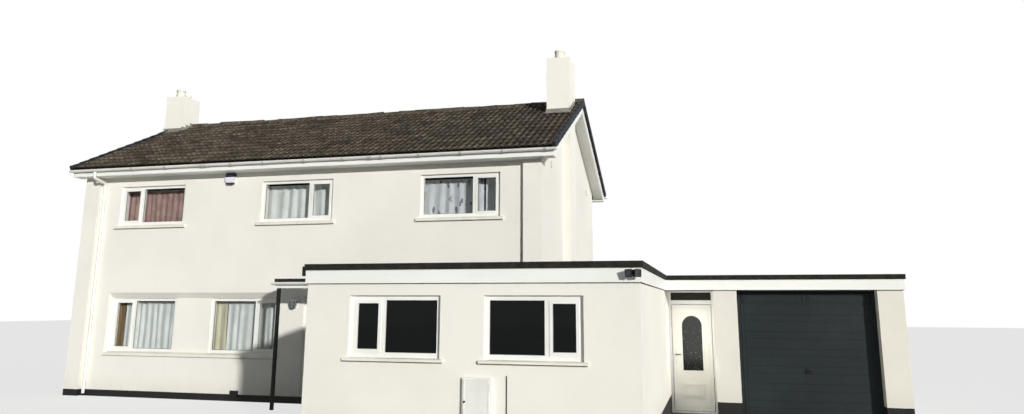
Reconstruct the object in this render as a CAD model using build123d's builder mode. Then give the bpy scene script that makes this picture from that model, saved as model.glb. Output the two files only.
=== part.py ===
# A rendered two-storey detached house with a gabled tile roof, a flat-roofed front wing,
# a porch canopy, a recessed side door and a garage with an up-and-over door.
# Millimetres. +X runs along the front to the right, +Y runs from the front to the back,
# +Z is up, and z = 0 is the ground. The origin is the middle of the whole footprint.
from build123d import *
from math import radians, tan, cos
import os

os.makedirs("parts", exist_ok=True)

# Main house
HOUSE_WIDTH = 11400
HOUSE_DEPTH = 6800
WALL = 300
FIN_WIDTH = 400
FIN_DEPTH = 95
GROUND_FLOOR_LEVEL = 150
UPPER_FLOOR_LEVEL = 2700
UPPER_FLOOR_THICKNESS = 240

# Tiled roof
EAVES_REACH = 270
SOFFIT_LEVEL = 5080
BOARD = 18
ROOF_PITCH = 26.5
ROOF_THICKNESS = 150
TILE_THICKNESS = 48
TILE_DRIP = 70
EAVES_TILE_LEVEL = 5290
VERGE_LEFT = 140
VERGE_RIGHT = 310
VERGE_TILE = 55
BARGE_DROP = 300
RIDGE_RADIUS = 120
RIDGE_SUNK = 54
TILE_COURSES = 13
COURSE_STEP = 22

# Gutters and downpipes
GUTTER_RADIUS = 56
GUTTER_WALL = 3
GUTTER_TOP = 5232
PIPE_RADIUS = 34
PIPE_BORE_RADIUS = 31
PIPE_STANDOFF = 32
PIPE_GROUND_GAP = 60
SWAN_RISE = 80
PIPE_OFFSET = 135
GUTTER_PAST_LEFT = 40
GUTTER_PAST_RIGHT = 80

# Chimneys
CHIMNEY_WIDTH = 570
CHIMNEY_DEPTH = 720
CHIMNEY_PROUD_LEFT = 270
CHIMNEY_PROUD_RIGHT = 170
CHIMNEY_FRONT_LEFT = HOUSE_DEPTH / 2 - 550
CHIMNEY_FRONT_RIGHT = HOUSE_DEPTH / 2 - 1000
CHIMNEY_TOP_LEFT = 7930
CHIMNEY_TOP_RIGHT = 8060
STACK_SEAT = 6200
POT_RADIUS = 115
POT_HEIGHT = 235
POT_WALL = 22
POT_FOOT_SPREAD = 9
POT_RIM_PROUD = 13
POT_RIM_HEIGHT = 38
POT_RIM_BEVEL = 9
SMALL_POT_RADIUS = 75
SMALL_POT_HEIGHT = 150
LEFT_POT_IN = 216
SMALL_POT_IN = 540
RIGHT_POT_IN = 252

# Windows of the main house
FRAME_WIDTH = 65
FRAME_DEPTH = 70
SASH_WIDTH = 42
SASH_PROUD = 12
GLASS = 24
REVEAL = 60
UPPER_WINDOW_WIDTH = 1795
UPPER_WINDOW_SILL = 3930
UPPER_WINDOW_HEIGHT = 925
UPPER_WINDOW_CENTRES = (1865, 5700, HOUSE_WIDTH - 1818)
LOWER_WINDOW_WIDTH = 1735
LOWER_WINDOW_HEIGHT = 1210
LOWER_WINDOW_CENTRES = (1832, 4500)
NARROW_LIGHT = 585
BAND_LEFT = 920
BAND_RIGHT = 5455
BAND_SILL = 915
BAND_SILL_THICKNESS = 90
BAND_HEAD = 2342
BAND_SPLAY = 127
BAND_DEPTH = 120
SILL_THICKNESS = 85
WING_SILL_THICKNESS = 45
SILL_PROUD = 50
SILL_SIDE = 80

# Front entrance under the porch
ENTRANCE_LEFT = 6030
ENTRANCE_WIDTH = 960
ENTRANCE_HEIGHT = 2100
ENTRANCE_STILE = 112
ENTRANCE_PANELS = ((340, 1020), (1190, 2040))
CANOPY_LEFT = 5980
CANOPY_FRONT = 1000
CANOPY_UNDERSIDE = 2410
CANOPY_TOP = 2600
CANOPY_EDGE = 72
POST_SIZE = 60
POST_INSET = 55

# Front wing
WING_LEFT = HOUSE_WIDTH - 2200
WING_WIDTH = 4660
WING_RIGHT = WING_LEFT + WING_WIDTH
WING_FRONT = 5410
WING_WINDOW_WIDTH = 1335
WING_WINDOW_SILL = 1370
WING_WINDOW_HEIGHT = 830
WING_WINDOW_LEFTS = (WING_LEFT + 655, WING_LEFT + 2600)
WING_NARROW_LIGHT = 490
WING_SILL_SIDE = 58

# Side door bay and garage
DOOR_FACE = 500
GARAGE_FRONT = 600
BAY_WIDTH = 864
GARAGE_WIDTH = 3196
GARAGE_LEFT = WING_RIGHT + BAY_WIDTH
GARAGE_RIGHT = GARAGE_LEFT + GARAGE_WIDTH
PIER_WIDTH = 420
PIER_DEPTH = 420
GARAGE_WALL = 215
GARAGE_BACK = 4700
YARD_FLOOR_LEVEL = 60

# Flat roof over wing, side bay and garage
FLAT_UNDERSIDE = 2364
FLAT_WHITE_TOP = 2548
FLAT_TOP = 2634
FLAT_EDGE_PROUD = 18
FLAT_REACH = 30

# Side door
DOOR_FRAME_WIDTH = 45
DOOR_FRAME_DEPTH = 70
DOOR_GAP = 10
DOOR_LEAF_THICKNESS = 50
DOOR_SILL_HEIGHT = 30
FANLIGHT_RAIL_BOTTOM = 2110
FANLIGHT_RAIL_HEIGHT = 80
DOOR_GLASS_WIDTH = 380
DOOR_GLASS_BOTTOM = 850
DOOR_GLASS_SPRING = 1700
DOOR_BEAD = 28
DOOR_BEAD_PROUD = 10
DOOR_PANEL_BOTTOM = 320
DOOR_PANEL_HEIGHT = 270
HANDLE_HEIGHT = 1150
HANDLE_BACKSET = 50
HINGE_LEVELS = (300, 1080, 1860)
HINGE_SET_BACK = 24
HINGE_PIN_RADIUS = 6
HINGE_BARREL_RADIUS = 10
HINGE_BARREL_HEIGHT = 70
HINGE_LUG = 14
HINGE_FLAP = 46
HINGE_PLAY = 0.3

# Garage door
GARAGE_FRAME = 75
GARAGE_FRAME_DEPTH = 60
GARAGE_FRAME_FACE = 250
GARAGE_DOOR_GAP = 12
GARAGE_DOOR_THICKNESS = 40
GARAGE_SKIN = 10
GARAGE_PIVOT_DROP = 60
GARAGE_PIVOT_RADIUS = 8
GARAGE_PIVOT_LENGTH = 34
GARAGE_RAIL = 60
GARAGE_HANDLE_LEVEL = 950
GARAGE_HANDLE_LENGTH = 120
GARAGE_HANDLE_REACH = 35

# Small fittings on the walls
METER_WIDTH = 390
METER_HEIGHT = 600
METER_TOP = 1145
METER_LEFT = WING_LEFT + 2335
METER_PROUD = 60
ALARM_WIDTH = 260
ALARM_HEIGHT = 265
ALARM_TOP = 5070
ALARM_LEFT = 3862
ALARM_PROUD = 85
ALARM_TAPER = 55
LANTERN_X = 5840
LANTERN_FOOT = 2000
LANTERN_HEIGHT = 215
LANTERN_WIDTH = 130
LANTERN_PROUD = 170
LANTERN_BACKPLATE = 14
LANTERN_CAGE_HEIGHT = 150
LANTERN_CAGE_FOOT = 72
LANTERN_CAP_TOP = 36
LANTERN_ARM = (160, 182)
FLOODLIGHT_X = WING_RIGHT - 65
FLOODLIGHT_LEVEL = 2425
FLOODLIGHT_HEAD = 92
FLOODLIGHT_HEIGHT = 120
FLOODLIGHT_PROUD = 150
FLOODLIGHT_HEAD_DEPTH = 82
FLOODLIGHT_MOUNT_WIDTH = 74
FLOODLIGHT_MOUNT_DEPTH = 90
FLOODLIGHT_MOUNT_HEIGHT = 60
FLOODLIGHT_GAP = 6

# The footprint's middle, which is the origin
REACH_LEFT = CHIMNEY_PROUD_LEFT
REACH_RIGHT = GARAGE_RIGHT + FLAT_REACH + FLAT_EDGE_PROUD
REACH_FRONT = WING_FRONT + FLAT_REACH + FLOODLIGHT_PROUD
GUTTER_REACH = EAVES_REACH + BOARD + 2 * GUTTER_RADIUS
REACH_BACK = HOUSE_DEPTH + GUTTER_REACH
MID_X = (REACH_RIGHT - REACH_LEFT) / 2
MID_Y = (REACH_BACK - REACH_FRONT) / 2

# Roof geometry: heights of the tile plane and of its underside over a distance behind the front fins
SLOPE = tan(radians(ROOF_PITCH))
EAVES_TILE_Y = -(EAVES_REACH + BOARD + TILE_DRIP)
RIDGE_Y = HOUSE_DEPTH / 2
RIDGE_LEVEL = EAVES_TILE_LEVEL + (RIDGE_Y - EAVES_TILE_Y) * SLOPE
ROOF_DROP = ROOF_THICKNESS / cos(radians(ROOF_PITCH))
TILE_DROP = TILE_THICKNESS / cos(radians(ROOF_PITCH))


def tile_level(y):
    return RIDGE_LEVEL - abs(RIDGE_Y - y) * SLOPE


def underside_level(y):
    return tile_level(y) - ROOF_DROP


def block(x, y, z, mode=Mode.ADD):
    """A square-cornered block given by its limits, in house coordinates."""
    centre = ((x[0] + x[1]) / 2 - MID_X, (y[0] + y[1]) / 2 - MID_Y, (z[0] + z[1]) / 2)
    with Locations(centre):
        Box(x[1] - x[0], y[1] - y[0], z[1] - z[0], mode=mode)


def section(outline, x, mode=Mode.ADD):
    """A cross-section of (y, z) points, run along X between two limits."""
    with BuildSketch(Plane.YZ.offset(x[0] - MID_X)) as profile:
        with BuildLine():
            Polyline([(y - MID_Y, z) for y, z in outline], close=True)
        make_face()
    extrude(profile.sketch, amount=x[1] - x[0], mode=mode)


LEFT_CHIMNEY_X = (-CHIMNEY_PROUD_LEFT, CHIMNEY_WIDTH - CHIMNEY_PROUD_LEFT)
RIGHT_CHIMNEY_X = (HOUSE_WIDTH + CHIMNEY_PROUD_RIGHT - CHIMNEY_WIDTH, HOUSE_WIDTH + CHIMNEY_PROUD_RIGHT)
LEFT_CHIMNEY_Y = (CHIMNEY_FRONT_LEFT, CHIMNEY_FRONT_LEFT + CHIMNEY_DEPTH)
RIGHT_CHIMNEY_Y = (CHIMNEY_FRONT_RIGHT, CHIMNEY_FRONT_RIGHT + CHIMNEY_DEPTH)


def cut_stacks():
    """The clear way through a piece for both chimneys: the outer breasts, and the wider stacks over them."""
    for x, y, top in ((LEFT_CHIMNEY_X, LEFT_CHIMNEY_Y, CHIMNEY_TOP_LEFT),
                      (RIGHT_CHIMNEY_X, RIGHT_CHIMNEY_Y, CHIMNEY_TOP_RIGHT)):
        block(x, y, (STACK_SEAT, top), Mode.SUBTRACT)
    block((HOUSE_WIDTH, RIGHT_CHIMNEY_X[1]), RIGHT_CHIMNEY_Y, (0, STACK_SEAT), Mode.SUBTRACT)


def finish(part, label):
    part.part.label = label
    export_step(part.part, f"parts/{label}.step")


def window_frame(left, width, sill, height, narrow, narrow_side, face, facing=1):
    """A frame with a mullion and an opening sash in its narrow light.

    face is the frame's outer plane, and facing is 1 where that plane looks to the front, -1 to the back.
    """
    right, head = left + width, sill + height
    depth = sorted((face, face + facing * FRAME_DEPTH))
    block((left, right), depth, (sill, head))
    mullion = left + narrow if narrow_side == "left" else right - narrow
    lights = [
        (left + FRAME_WIDTH, mullion - FRAME_WIDTH / 2),
        (mullion + FRAME_WIDTH / 2, right - FRAME_WIDTH),
    ]
    for light in lights:
        block(light, depth, (sill + FRAME_WIDTH, head - FRAME_WIDTH), Mode.SUBTRACT)
    sash = lights[0] if narrow_side == "left" else lights[1]
    proud = sorted((face - facing * SASH_PROUD, face + facing * (FRAME_DEPTH - SASH_PROUD)))
    inner = (sash[0] + SASH_WIDTH, sash[1] - SASH_WIDTH)
    block(sash, proud, (sill + FRAME_WIDTH, head - FRAME_WIDTH))
    block(inner, proud, (sill + FRAME_WIDTH + SASH_WIDTH, head - FRAME_WIDTH - SASH_WIDTH), Mode.SUBTRACT)


def window_glass(left, width, sill, height, narrow, narrow_side, face, facing=1):
    """The two panes that fit the frame of the same sizes."""
    right, head = left + width, sill + height
    middle = face + facing * FRAME_DEPTH / 2
    depth = (middle - GLASS / 2, middle + GLASS / 2)
    mullion = left + narrow if narrow_side == "left" else right - narrow
    lights = [
        (left + FRAME_WIDTH, mullion - FRAME_WIDTH / 2),
        (mullion + FRAME_WIDTH / 2, right - FRAME_WIDTH),
    ]
    for light, sashed in zip(lights, (narrow_side == "left", narrow_side == "right")):
        rim = SASH_WIDTH if sashed else 0
        block((light[0] + rim, light[1] - rim), depth, (sill + FRAME_WIDTH + rim, head - FRAME_WIDTH - rim))


# Ground slabs: the house's, the wing's with the side bay's, and the garage's
WING_INNER_X = (WING_LEFT + WALL, WING_RIGHT - WALL)
GARAGE_INNER_X = (GARAGE_LEFT + GARAGE_WALL, GARAGE_RIGHT - GARAGE_WALL)
OPENING_X = (GARAGE_LEFT + PIER_WIDTH, GARAGE_RIGHT - PIER_WIDTH)
PIER_BACK = -GARAGE_FRONT + PIER_DEPTH
BAY_BACK = GARAGE_BACK - GARAGE_WALL
with BuildPart() as ground_floor:
    block((WALL, HOUSE_WIDTH - WALL), (FIN_DEPTH + WALL, HOUSE_DEPTH - WALL), (0, GROUND_FLOOR_LEVEL))
    block(WING_INNER_X, (-WING_FRONT + WALL, 0), (0, YARD_FLOOR_LEVEL))
    block((WING_INNER_X[0], HOUSE_WIDTH - FIN_WIDTH), (0, FIN_DEPTH), (0, YARD_FLOOR_LEVEL))
    block((HOUSE_WIDTH, WING_INNER_X[1]), (0, DOOR_FACE), (0, YARD_FLOOR_LEVEL))
    block((HOUSE_WIDTH, WING_INNER_X[1]), (DOOR_FACE, BAY_BACK), (0, YARD_FLOOR_LEVEL))
    block((WING_INNER_X[1], GARAGE_LEFT), (DOOR_FACE + DOOR_FRAME_DEPTH, BAY_BACK), (0, YARD_FLOOR_LEVEL))
    block((WING_RIGHT, GARAGE_LEFT), (DOOR_FACE, DOOR_FACE + DOOR_FRAME_DEPTH), (0, YARD_FLOOR_LEVEL))
    block(GARAGE_INNER_X, (PIER_BACK, BAY_BACK), (0, YARD_FLOOR_LEVEL))
    block(OPENING_X, (-GARAGE_FRONT, PIER_BACK), (0, YARD_FLOOR_LEVEL))
    cut_stacks()
finish(ground_floor, "ground_floor")

with BuildPart() as upper_floor:
    block((WALL, HOUSE_WIDTH - WALL), (FIN_DEPTH + WALL, HOUSE_DEPTH - WALL),
          (UPPER_FLOOR_LEVEL - UPPER_FLOOR_THICKNESS, UPPER_FLOOR_LEVEL))
finish(upper_floor, "upper_floor")

# Front wall of the house: set back between the end fins, with a recessed band round the lower windows
FACADE = FIN_DEPTH
BAND_FACE = FACADE + BAND_DEPTH
LOWER_WINDOW_SILL = BAND_SILL + BAND_SILL_THICKNESS
UPPER_LEFTS = [c - UPPER_WINDOW_WIDTH / 2 for c in UPPER_WINDOW_CENTRES]
LOWER_LEFTS = [c - LOWER_WINDOW_WIDTH / 2 for c in LOWER_WINDOW_CENTRES]

with BuildPart() as front_wall:
    section([(FACADE, 0), (FACADE + WALL, 0), (FACADE + WALL, underside_level(FACADE + WALL)),
             (FACADE, underside_level(FACADE))], (WALL, HOUSE_WIDTH - WALL))
    section([(FACADE, BAND_SILL), (BAND_FACE, BAND_SILL), (BAND_FACE, BAND_HEAD - BAND_SPLAY),
             (FACADE, BAND_HEAD)], (BAND_LEFT, BAND_RIGHT), Mode.SUBTRACT)
    for left in UPPER_LEFTS:
        block((left, left + UPPER_WINDOW_WIDTH), (FACADE, FACADE + WALL),
              (UPPER_WINDOW_SILL, UPPER_WINDOW_SILL + UPPER_WINDOW_HEIGHT), Mode.SUBTRACT)
        block((left, left + UPPER_WINDOW_WIDTH), (FACADE, FACADE + REVEAL),
              (UPPER_WINDOW_SILL - SILL_THICKNESS, UPPER_WINDOW_SILL), Mode.SUBTRACT)
    for left in LOWER_LEFTS:
        block((left, left + LOWER_WINDOW_WIDTH), (FACADE, FACADE + WALL),
              (LOWER_WINDOW_SILL, LOWER_WINDOW_SILL + LOWER_WINDOW_HEIGHT), Mode.SUBTRACT)
    block((ENTRANCE_LEFT, ENTRANCE_LEFT + ENTRANCE_WIDTH), (FACADE, FACADE + WALL),
          (GROUND_FLOOR_LEVEL, GROUND_FLOOR_LEVEL + ENTRANCE_HEIGHT), Mode.SUBTRACT)
finish(front_wall, "front_wall")

# Back wall: the front's windows again, one over the other
BACK_FACE = HOUSE_DEPTH
BACK_INNER = HOUSE_DEPTH - WALL
BACK_LOWER_LEFTS = [c - LOWER_WINDOW_WIDTH / 2 for c in UPPER_WINDOW_CENTRES]
with BuildPart() as back_wall:
    section([(BACK_INNER, 0), (BACK_FACE, 0), (BACK_FACE, underside_level(BACK_FACE)),
             (BACK_INNER, underside_level(BACK_INNER))], (WALL, HOUSE_WIDTH - WALL))
    for left in UPPER_LEFTS:
        block((left, left + UPPER_WINDOW_WIDTH), (BACK_INNER, BACK_FACE),
              (UPPER_WINDOW_SILL, UPPER_WINDOW_SILL + UPPER_WINDOW_HEIGHT), Mode.SUBTRACT)
        block((left, left + UPPER_WINDOW_WIDTH), (BACK_FACE - REVEAL, BACK_FACE),
              (UPPER_WINDOW_SILL - SILL_THICKNESS, UPPER_WINDOW_SILL), Mode.SUBTRACT)
    for left in BACK_LOWER_LEFTS:
        block((left, left + LOWER_WINDOW_WIDTH), (BACK_INNER, BACK_FACE),
              (LOWER_WINDOW_SILL, LOWER_WINDOW_SILL + LOWER_WINDOW_HEIGHT), Mode.SUBTRACT)
        block((left, left + LOWER_WINDOW_WIDTH), (BACK_FACE - REVEAL, BACK_FACE),
              (LOWER_WINDOW_SILL - SILL_THICKNESS, LOWER_WINDOW_SILL), Mode.SUBTRACT)
finish(back_wall, "back_wall")

# Gable walls, each with a fin that runs on to the front of the facade
def gable_outline():
    return [(FACADE, 0), (HOUSE_DEPTH, 0), (HOUSE_DEPTH, underside_level(HOUSE_DEPTH)),
            (RIDGE_Y, underside_level(RIDGE_Y)), (FACADE, underside_level(FACADE))]


with BuildPart() as left_gable_wall:
    section(gable_outline(), (0, WALL))
    block((0, FIN_WIDTH), (0, FACADE), (0, SOFFIT_LEVEL))
    cut_stacks()
finish(left_gable_wall, "left_gable_wall")

with BuildPart() as right_gable_wall:
    section(gable_outline(), (HOUSE_WIDTH - WALL, HOUSE_WIDTH))
    block((HOUSE_WIDTH - FIN_WIDTH, HOUSE_WIDTH), (0, FACADE), (0, SOFFIT_LEVEL))
    cut_stacks()
finish(right_gable_wall, "right_gable_wall")

with BuildPart() as left_chimney:
    block((-CHIMNEY_PROUD_LEFT, 0), LEFT_CHIMNEY_Y, (0, STACK_SEAT))
    block(LEFT_CHIMNEY_X, LEFT_CHIMNEY_Y, (STACK_SEAT, CHIMNEY_TOP_LEFT))
finish(left_chimney, "left_chimney")

with BuildPart() as right_chimney:
    block((HOUSE_WIDTH, HOUSE_WIDTH + CHIMNEY_PROUD_RIGHT), RIGHT_CHIMNEY_Y, (0, STACK_SEAT))
    block(RIGHT_CHIMNEY_X, RIGHT_CHIMNEY_Y, (STACK_SEAT, CHIMNEY_TOP_RIGHT))
finish(right_chimney, "right_chimney")


def chimney_pot(x, y, seat, radius, height):
    """A tapered clay pot with a rolled rim, open at the top."""
    middle = x - MID_X
    shoulder = seat + height - POT_RIM_HEIGHT
    with BuildSketch(Plane.XZ.offset(-(y - MID_Y))) as profile:
        with BuildLine():
            Polyline([(middle, seat), (middle + radius + POT_FOOT_SPREAD, seat),
                      (middle + radius, shoulder - POT_RIM_BEVEL), (middle + radius + POT_RIM_PROUD, shoulder),
                      (middle + radius + POT_RIM_PROUD, seat + height), (middle, seat + height)], close=True)
        make_face()
    revolve(profile.sketch, axis=Axis((middle, y - MID_Y, 0), (0, 0, 1)))
    with Locations((middle, y - MID_Y, seat + height)):
        Hole(radius=radius - POT_WALL, depth=height - POT_WALL)


LEFT_POT_X = LEFT_CHIMNEY_X[0] + CHIMNEY_WIDTH / 2
RIGHT_POT_X = RIGHT_CHIMNEY_X[0] + CHIMNEY_WIDTH / 2
with BuildPart() as chimney_pots:
    chimney_pot(LEFT_POT_X, LEFT_CHIMNEY_Y[0] + LEFT_POT_IN, CHIMNEY_TOP_LEFT, POT_RADIUS, POT_HEIGHT)
    chimney_pot(LEFT_POT_X, LEFT_CHIMNEY_Y[0] + SMALL_POT_IN, CHIMNEY_TOP_LEFT,
                SMALL_POT_RADIUS, SMALL_POT_HEIGHT)
    chimney_pot(RIGHT_POT_X, RIGHT_CHIMNEY_Y[0] + RIGHT_POT_IN, CHIMNEY_TOP_RIGHT,
                POT_RADIUS, POT_HEIGHT)
finish(chimney_pots, "chimney_pots")

# Tiled roof: two sloping slabs, a capped ridge, boxed eaves and boarded verges
ROOF_X = (-VERGE_LEFT - VERGE_TILE, HOUSE_WIDTH + VERGE_RIGHT + VERGE_TILE)
SLAB_X = (-VERGE_LEFT + BOARD, HOUSE_WIDTH + VERGE_RIGHT - BOARD)
BACK_TILE_Y = HOUSE_DEPTH - EAVES_TILE_Y


def courses(eaves_y):
    """The tiles' stepped top line from the eaves up to the ridge, each course's tail over the next one down."""
    rise = (RIDGE_Y - eaves_y) / TILE_COURSES
    line = []
    for course in range(TILE_COURSES):
        tail, head = eaves_y + course * rise, eaves_y + (course + 1) * rise
        if course == TILE_COURSES - 1:
            head = RIDGE_Y - RIDGE_RADIUS * (1 if rise > 0 else -1)
        line += [(tail, tile_level(tail) + COURSE_STEP), (head, tile_level(head))]
    return line + [(RIDGE_Y, RIDGE_LEVEL)]


def roof_outline(eaves_y, fascia_y):
    """The slab's section, with only the tiles' own thickness reaching out over the fascia."""
    return courses(eaves_y) + [
        (RIDGE_Y, underside_level(RIDGE_Y)), (fascia_y, underside_level(fascia_y)),
        (fascia_y, tile_level(fascia_y) - TILE_DROP), (eaves_y, tile_level(eaves_y) - TILE_DROP)]


def tile_outline(eaves_y):
    return courses(eaves_y) + [(RIDGE_Y, RIDGE_LEVEL - TILE_DROP), (eaves_y, tile_level(eaves_y) - TILE_DROP)]


def slope_slab(eaves_y, fascia_y):
    """One slope: the full slab between the bargeboards, and its tiles on over the boards and the fascia."""
    section(roof_outline(eaves_y, fascia_y), SLAB_X)
    section(tile_outline(eaves_y), (ROOF_X[0], SLAB_X[0]))
    section(tile_outline(eaves_y), (SLAB_X[1], ROOF_X[1]))
    cut_stacks()


with BuildPart() as roof_front:
    slope_slab(EAVES_TILE_Y, -EAVES_REACH)
finish(roof_front, "roof_front")

with BuildPart() as roof_back:
    slope_slab(BACK_TILE_Y, HOUSE_DEPTH + EAVES_REACH)
finish(roof_back, "roof_back")

with BuildPart() as ridge:
    with BuildSketch(Plane.YZ.offset(ROOF_X[0] - MID_X)):
        with Locations((RIDGE_Y - MID_Y, RIDGE_LEVEL - RIDGE_SUNK)):
            Circle(RIDGE_RADIUS)
        with BuildLine():
            Polyline([(RIDGE_Y - MID_Y, RIDGE_LEVEL),
                      (RIDGE_Y - MID_Y + 4 * RIDGE_RADIUS, RIDGE_LEVEL - 4 * RIDGE_RADIUS * SLOPE),
                      (RIDGE_Y - MID_Y - 4 * RIDGE_RADIUS, RIDGE_LEVEL - 4 * RIDGE_RADIUS * SLOPE)], close=True)
        make_face(mode=Mode.SUBTRACT)
    extrude(amount=ROOF_X[1] - ROOF_X[0])
    cut_stacks()
finish(ridge, "ridge_tiles")


def eaves(back):
    """Fascia, soffit and the gutter's packing, mirrored for the back."""
    def side(y):
        return HOUSE_DEPTH - y if back else y

    def span(y0, y1):
        return tuple(sorted((side(y0), side(y1))))

    face = -EAVES_REACH
    wall = 0 if back else FACADE
    fascia_top = tile_level(face - BOARD) - TILE_DROP
    block((-VERGE_LEFT, HOUSE_WIDTH + VERGE_RIGHT), span(face - BOARD, face), (SOFFIT_LEVEL, fascia_top))
    block((0, HOUSE_WIDTH), span(face, wall), (SOFFIT_LEVEL, SOFFIT_LEVEL + BOARD))
    for x in ((-VERGE_LEFT, 0), (HOUSE_WIDTH, HOUSE_WIDTH + VERGE_RIGHT)):
        block(x, span(face, 0), (SOFFIT_LEVEL, SOFFIT_LEVEL + BOARD))


with BuildPart() as eaves_boards:
    eaves(back=False)
    eaves(back=True)
finish(eaves_boards, "eaves_boards")


def verge(outer, inner):
    """Bargeboards at the roof's outer edge and the sloping soffits that close back to the gable wall."""
    step = BOARD if inner > outer else -BOARD
    foot, level = -EAVES_REACH, SOFFIT_LEVEL + BOARD
    back_foot = HOUSE_DEPTH - foot
    foot_top = tile_level(foot) - TILE_DROP
    turn = foot + (level - tile_level(foot) + BARGE_DROP) / SLOPE
    outline = [(foot, foot_top), (RIDGE_Y, RIDGE_LEVEL - TILE_DROP), (back_foot, foot_top), (back_foot, level),
               (HOUSE_DEPTH - turn, level), (RIDGE_Y, RIDGE_LEVEL - BARGE_DROP), (turn, level), (foot, level)]
    section(outline, sorted((outer, outer + step)))
    reach = sorted((outer + step, inner))
    lift = BOARD / cos(radians(ROOF_PITCH))
    for low in (foot, back_foot):
        section([(low, underside_level(low)), (RIDGE_Y, underside_level(RIDGE_Y)),
                 (RIDGE_Y, underside_level(RIDGE_Y) - lift), (low, underside_level(low) - lift)], reach)


with BuildPart() as verge_boards:
    verge(-VERGE_LEFT, 0)
    verge(HOUSE_WIDTH + VERGE_RIGHT, HOUSE_WIDTH)
    cut_stacks()
finish(verge_boards, "verge_boards")

# Rainwater goods
FRONT_GUTTER_Y = -EAVES_REACH - BOARD - GUTTER_RADIUS
BACK_GUTTER_Y = HOUSE_DEPTH + EAVES_REACH + BOARD + GUTTER_RADIUS
GUTTER_X = (-VERGE_LEFT - GUTTER_PAST_LEFT, HOUSE_WIDTH + VERGE_RIGHT + GUTTER_PAST_RIGHT)


def gutter(y, x, top):
    """A half-round channel with closed ends."""
    with BuildSketch(Plane.YZ.offset(x[0] - MID_X)) as outside:
        with Locations((y - MID_Y, top)):
            Circle(GUTTER_RADIUS)
        with Locations((y - MID_Y, top + GUTTER_RADIUS)):
            Rectangle(4 * GUTTER_RADIUS, 2 * GUTTER_RADIUS, mode=Mode.SUBTRACT)
    extrude(outside.sketch, amount=x[1] - x[0])
    with BuildSketch(Plane.YZ.offset(x[0] + GUTTER_WALL - MID_X)) as inside:
        with Locations((y - MID_Y, top)):
            Circle(GUTTER_RADIUS - GUTTER_WALL)
    extrude(inside.sketch, amount=x[1] - x[0] - 2 * GUTTER_WALL, mode=Mode.SUBTRACT)


with BuildPart() as roof_gutters:
    gutter(FRONT_GUTTER_Y, GUTTER_X, GUTTER_TOP)
    gutter(BACK_GUTTER_Y, GUTTER_X, GUTTER_TOP)
finish(roof_gutters, "roof_gutters")

GUTTER_BOTTOM = GUTTER_TOP - GUTTER_RADIUS


def downpipe(x, gutter_y, wall_y, toward):
    """A round pipe from the gutter's outlet, under the soffit in a swan neck and down the wall."""
    pipe_y = wall_y - toward * (PIPE_STANDOFF + PIPE_RADIUS)
    upper = SOFFIT_LEVEL - PIPE_RADIUS * 1.5
    lower = upper - SWAN_RISE
    with BuildLine() as route:
        FilletPolyline([(x - MID_X, gutter_y - MID_Y, GUTTER_BOTTOM), (x - MID_X, gutter_y - MID_Y, upper),
                        (x - MID_X, pipe_y - MID_Y, lower), (x - MID_X, pipe_y - MID_Y, PIPE_GROUND_GAP)],
                       radius=PIPE_RADIUS * 1.6)
    with BuildSketch(Plane(origin=(x - MID_X, gutter_y - MID_Y, GUTTER_BOTTOM), z_dir=(0, 0, -1))) as ring:
        Circle(PIPE_RADIUS)
        Circle(PIPE_BORE_RADIUS, mode=Mode.SUBTRACT)
    sweep(ring.sketch, path=route.line)


PIPE_X = FIN_WIDTH + PIPE_OFFSET
with BuildPart() as downpipes:
    downpipe(PIPE_X, FRONT_GUTTER_Y, FACADE, 1)
    downpipe(PIPE_X, BACK_GUTTER_Y, HOUSE_DEPTH, -1)
finish(downpipes, "downpipes")

# Windows of the house, with their sills
UPPER_FACE = FACADE + REVEAL
LOWER_FACE = BAND_FACE + REVEAL / 2
BACK_WINDOW_FACE = BACK_FACE - REVEAL
UPPER_SIDES = ("left", "right", "right")
LOWER_SIDES = ("left", "right")

WING_FACE = -WING_FRONT
WING_SIDES = ("left", "right")
LIGHT_LISTS = {
    "upper": [(left, UPPER_WINDOW_WIDTH, UPPER_WINDOW_SILL, UPPER_WINDOW_HEIGHT, NARROW_LIGHT, side, UPPER_FACE)
              for left, side in zip(UPPER_LEFTS, UPPER_SIDES)],
    "lower": [(left, LOWER_WINDOW_WIDTH, LOWER_WINDOW_SILL, LOWER_WINDOW_HEIGHT, NARROW_LIGHT, side, LOWER_FACE)
              for left, side in zip(LOWER_LEFTS, LOWER_SIDES)],
    "wing": [(left, WING_WINDOW_WIDTH, WING_WINDOW_SILL, WING_WINDOW_HEIGHT, WING_NARROW_LIGHT, side,
              WING_FACE + REVEAL) for left, side in zip(WING_WINDOW_LEFTS, WING_SIDES)],
    "back": [(left, UPPER_WINDOW_WIDTH, UPPER_WINDOW_SILL, UPPER_WINDOW_HEIGHT, NARROW_LIGHT, "left",
              BACK_WINDOW_FACE, -1) for left in UPPER_LEFTS]
            + [(left, LOWER_WINDOW_WIDTH, LOWER_WINDOW_SILL, LOWER_WINDOW_HEIGHT, NARROW_LIGHT, "left",
                BACK_WINDOW_FACE, -1) for left in BACK_LOWER_LEFTS],
}

with BuildPart() as house_windows:
    for sizes in LIGHT_LISTS["upper"] + LIGHT_LISTS["lower"]:
        window_frame(*sizes)
finish(house_windows, "house_windows")

with BuildPart() as wing_windows:
    for sizes in LIGHT_LISTS["wing"]:
        window_frame(*sizes)
finish(wing_windows, "wing_windows")

with BuildPart() as back_windows:
    for sizes in LIGHT_LISTS["back"]:
        window_frame(*sizes)
finish(back_windows, "back_windows")

with BuildPart() as front_glass:
    for sizes in LIGHT_LISTS["upper"] + LIGHT_LISTS["lower"] + LIGHT_LISTS["wing"]:
        window_glass(*sizes)
finish(front_glass, "front_glass")

with BuildPart() as back_glass:
    for sizes in LIGHT_LISTS["back"]:
        window_glass(*sizes)
finish(back_glass, "back_glass")


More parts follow.
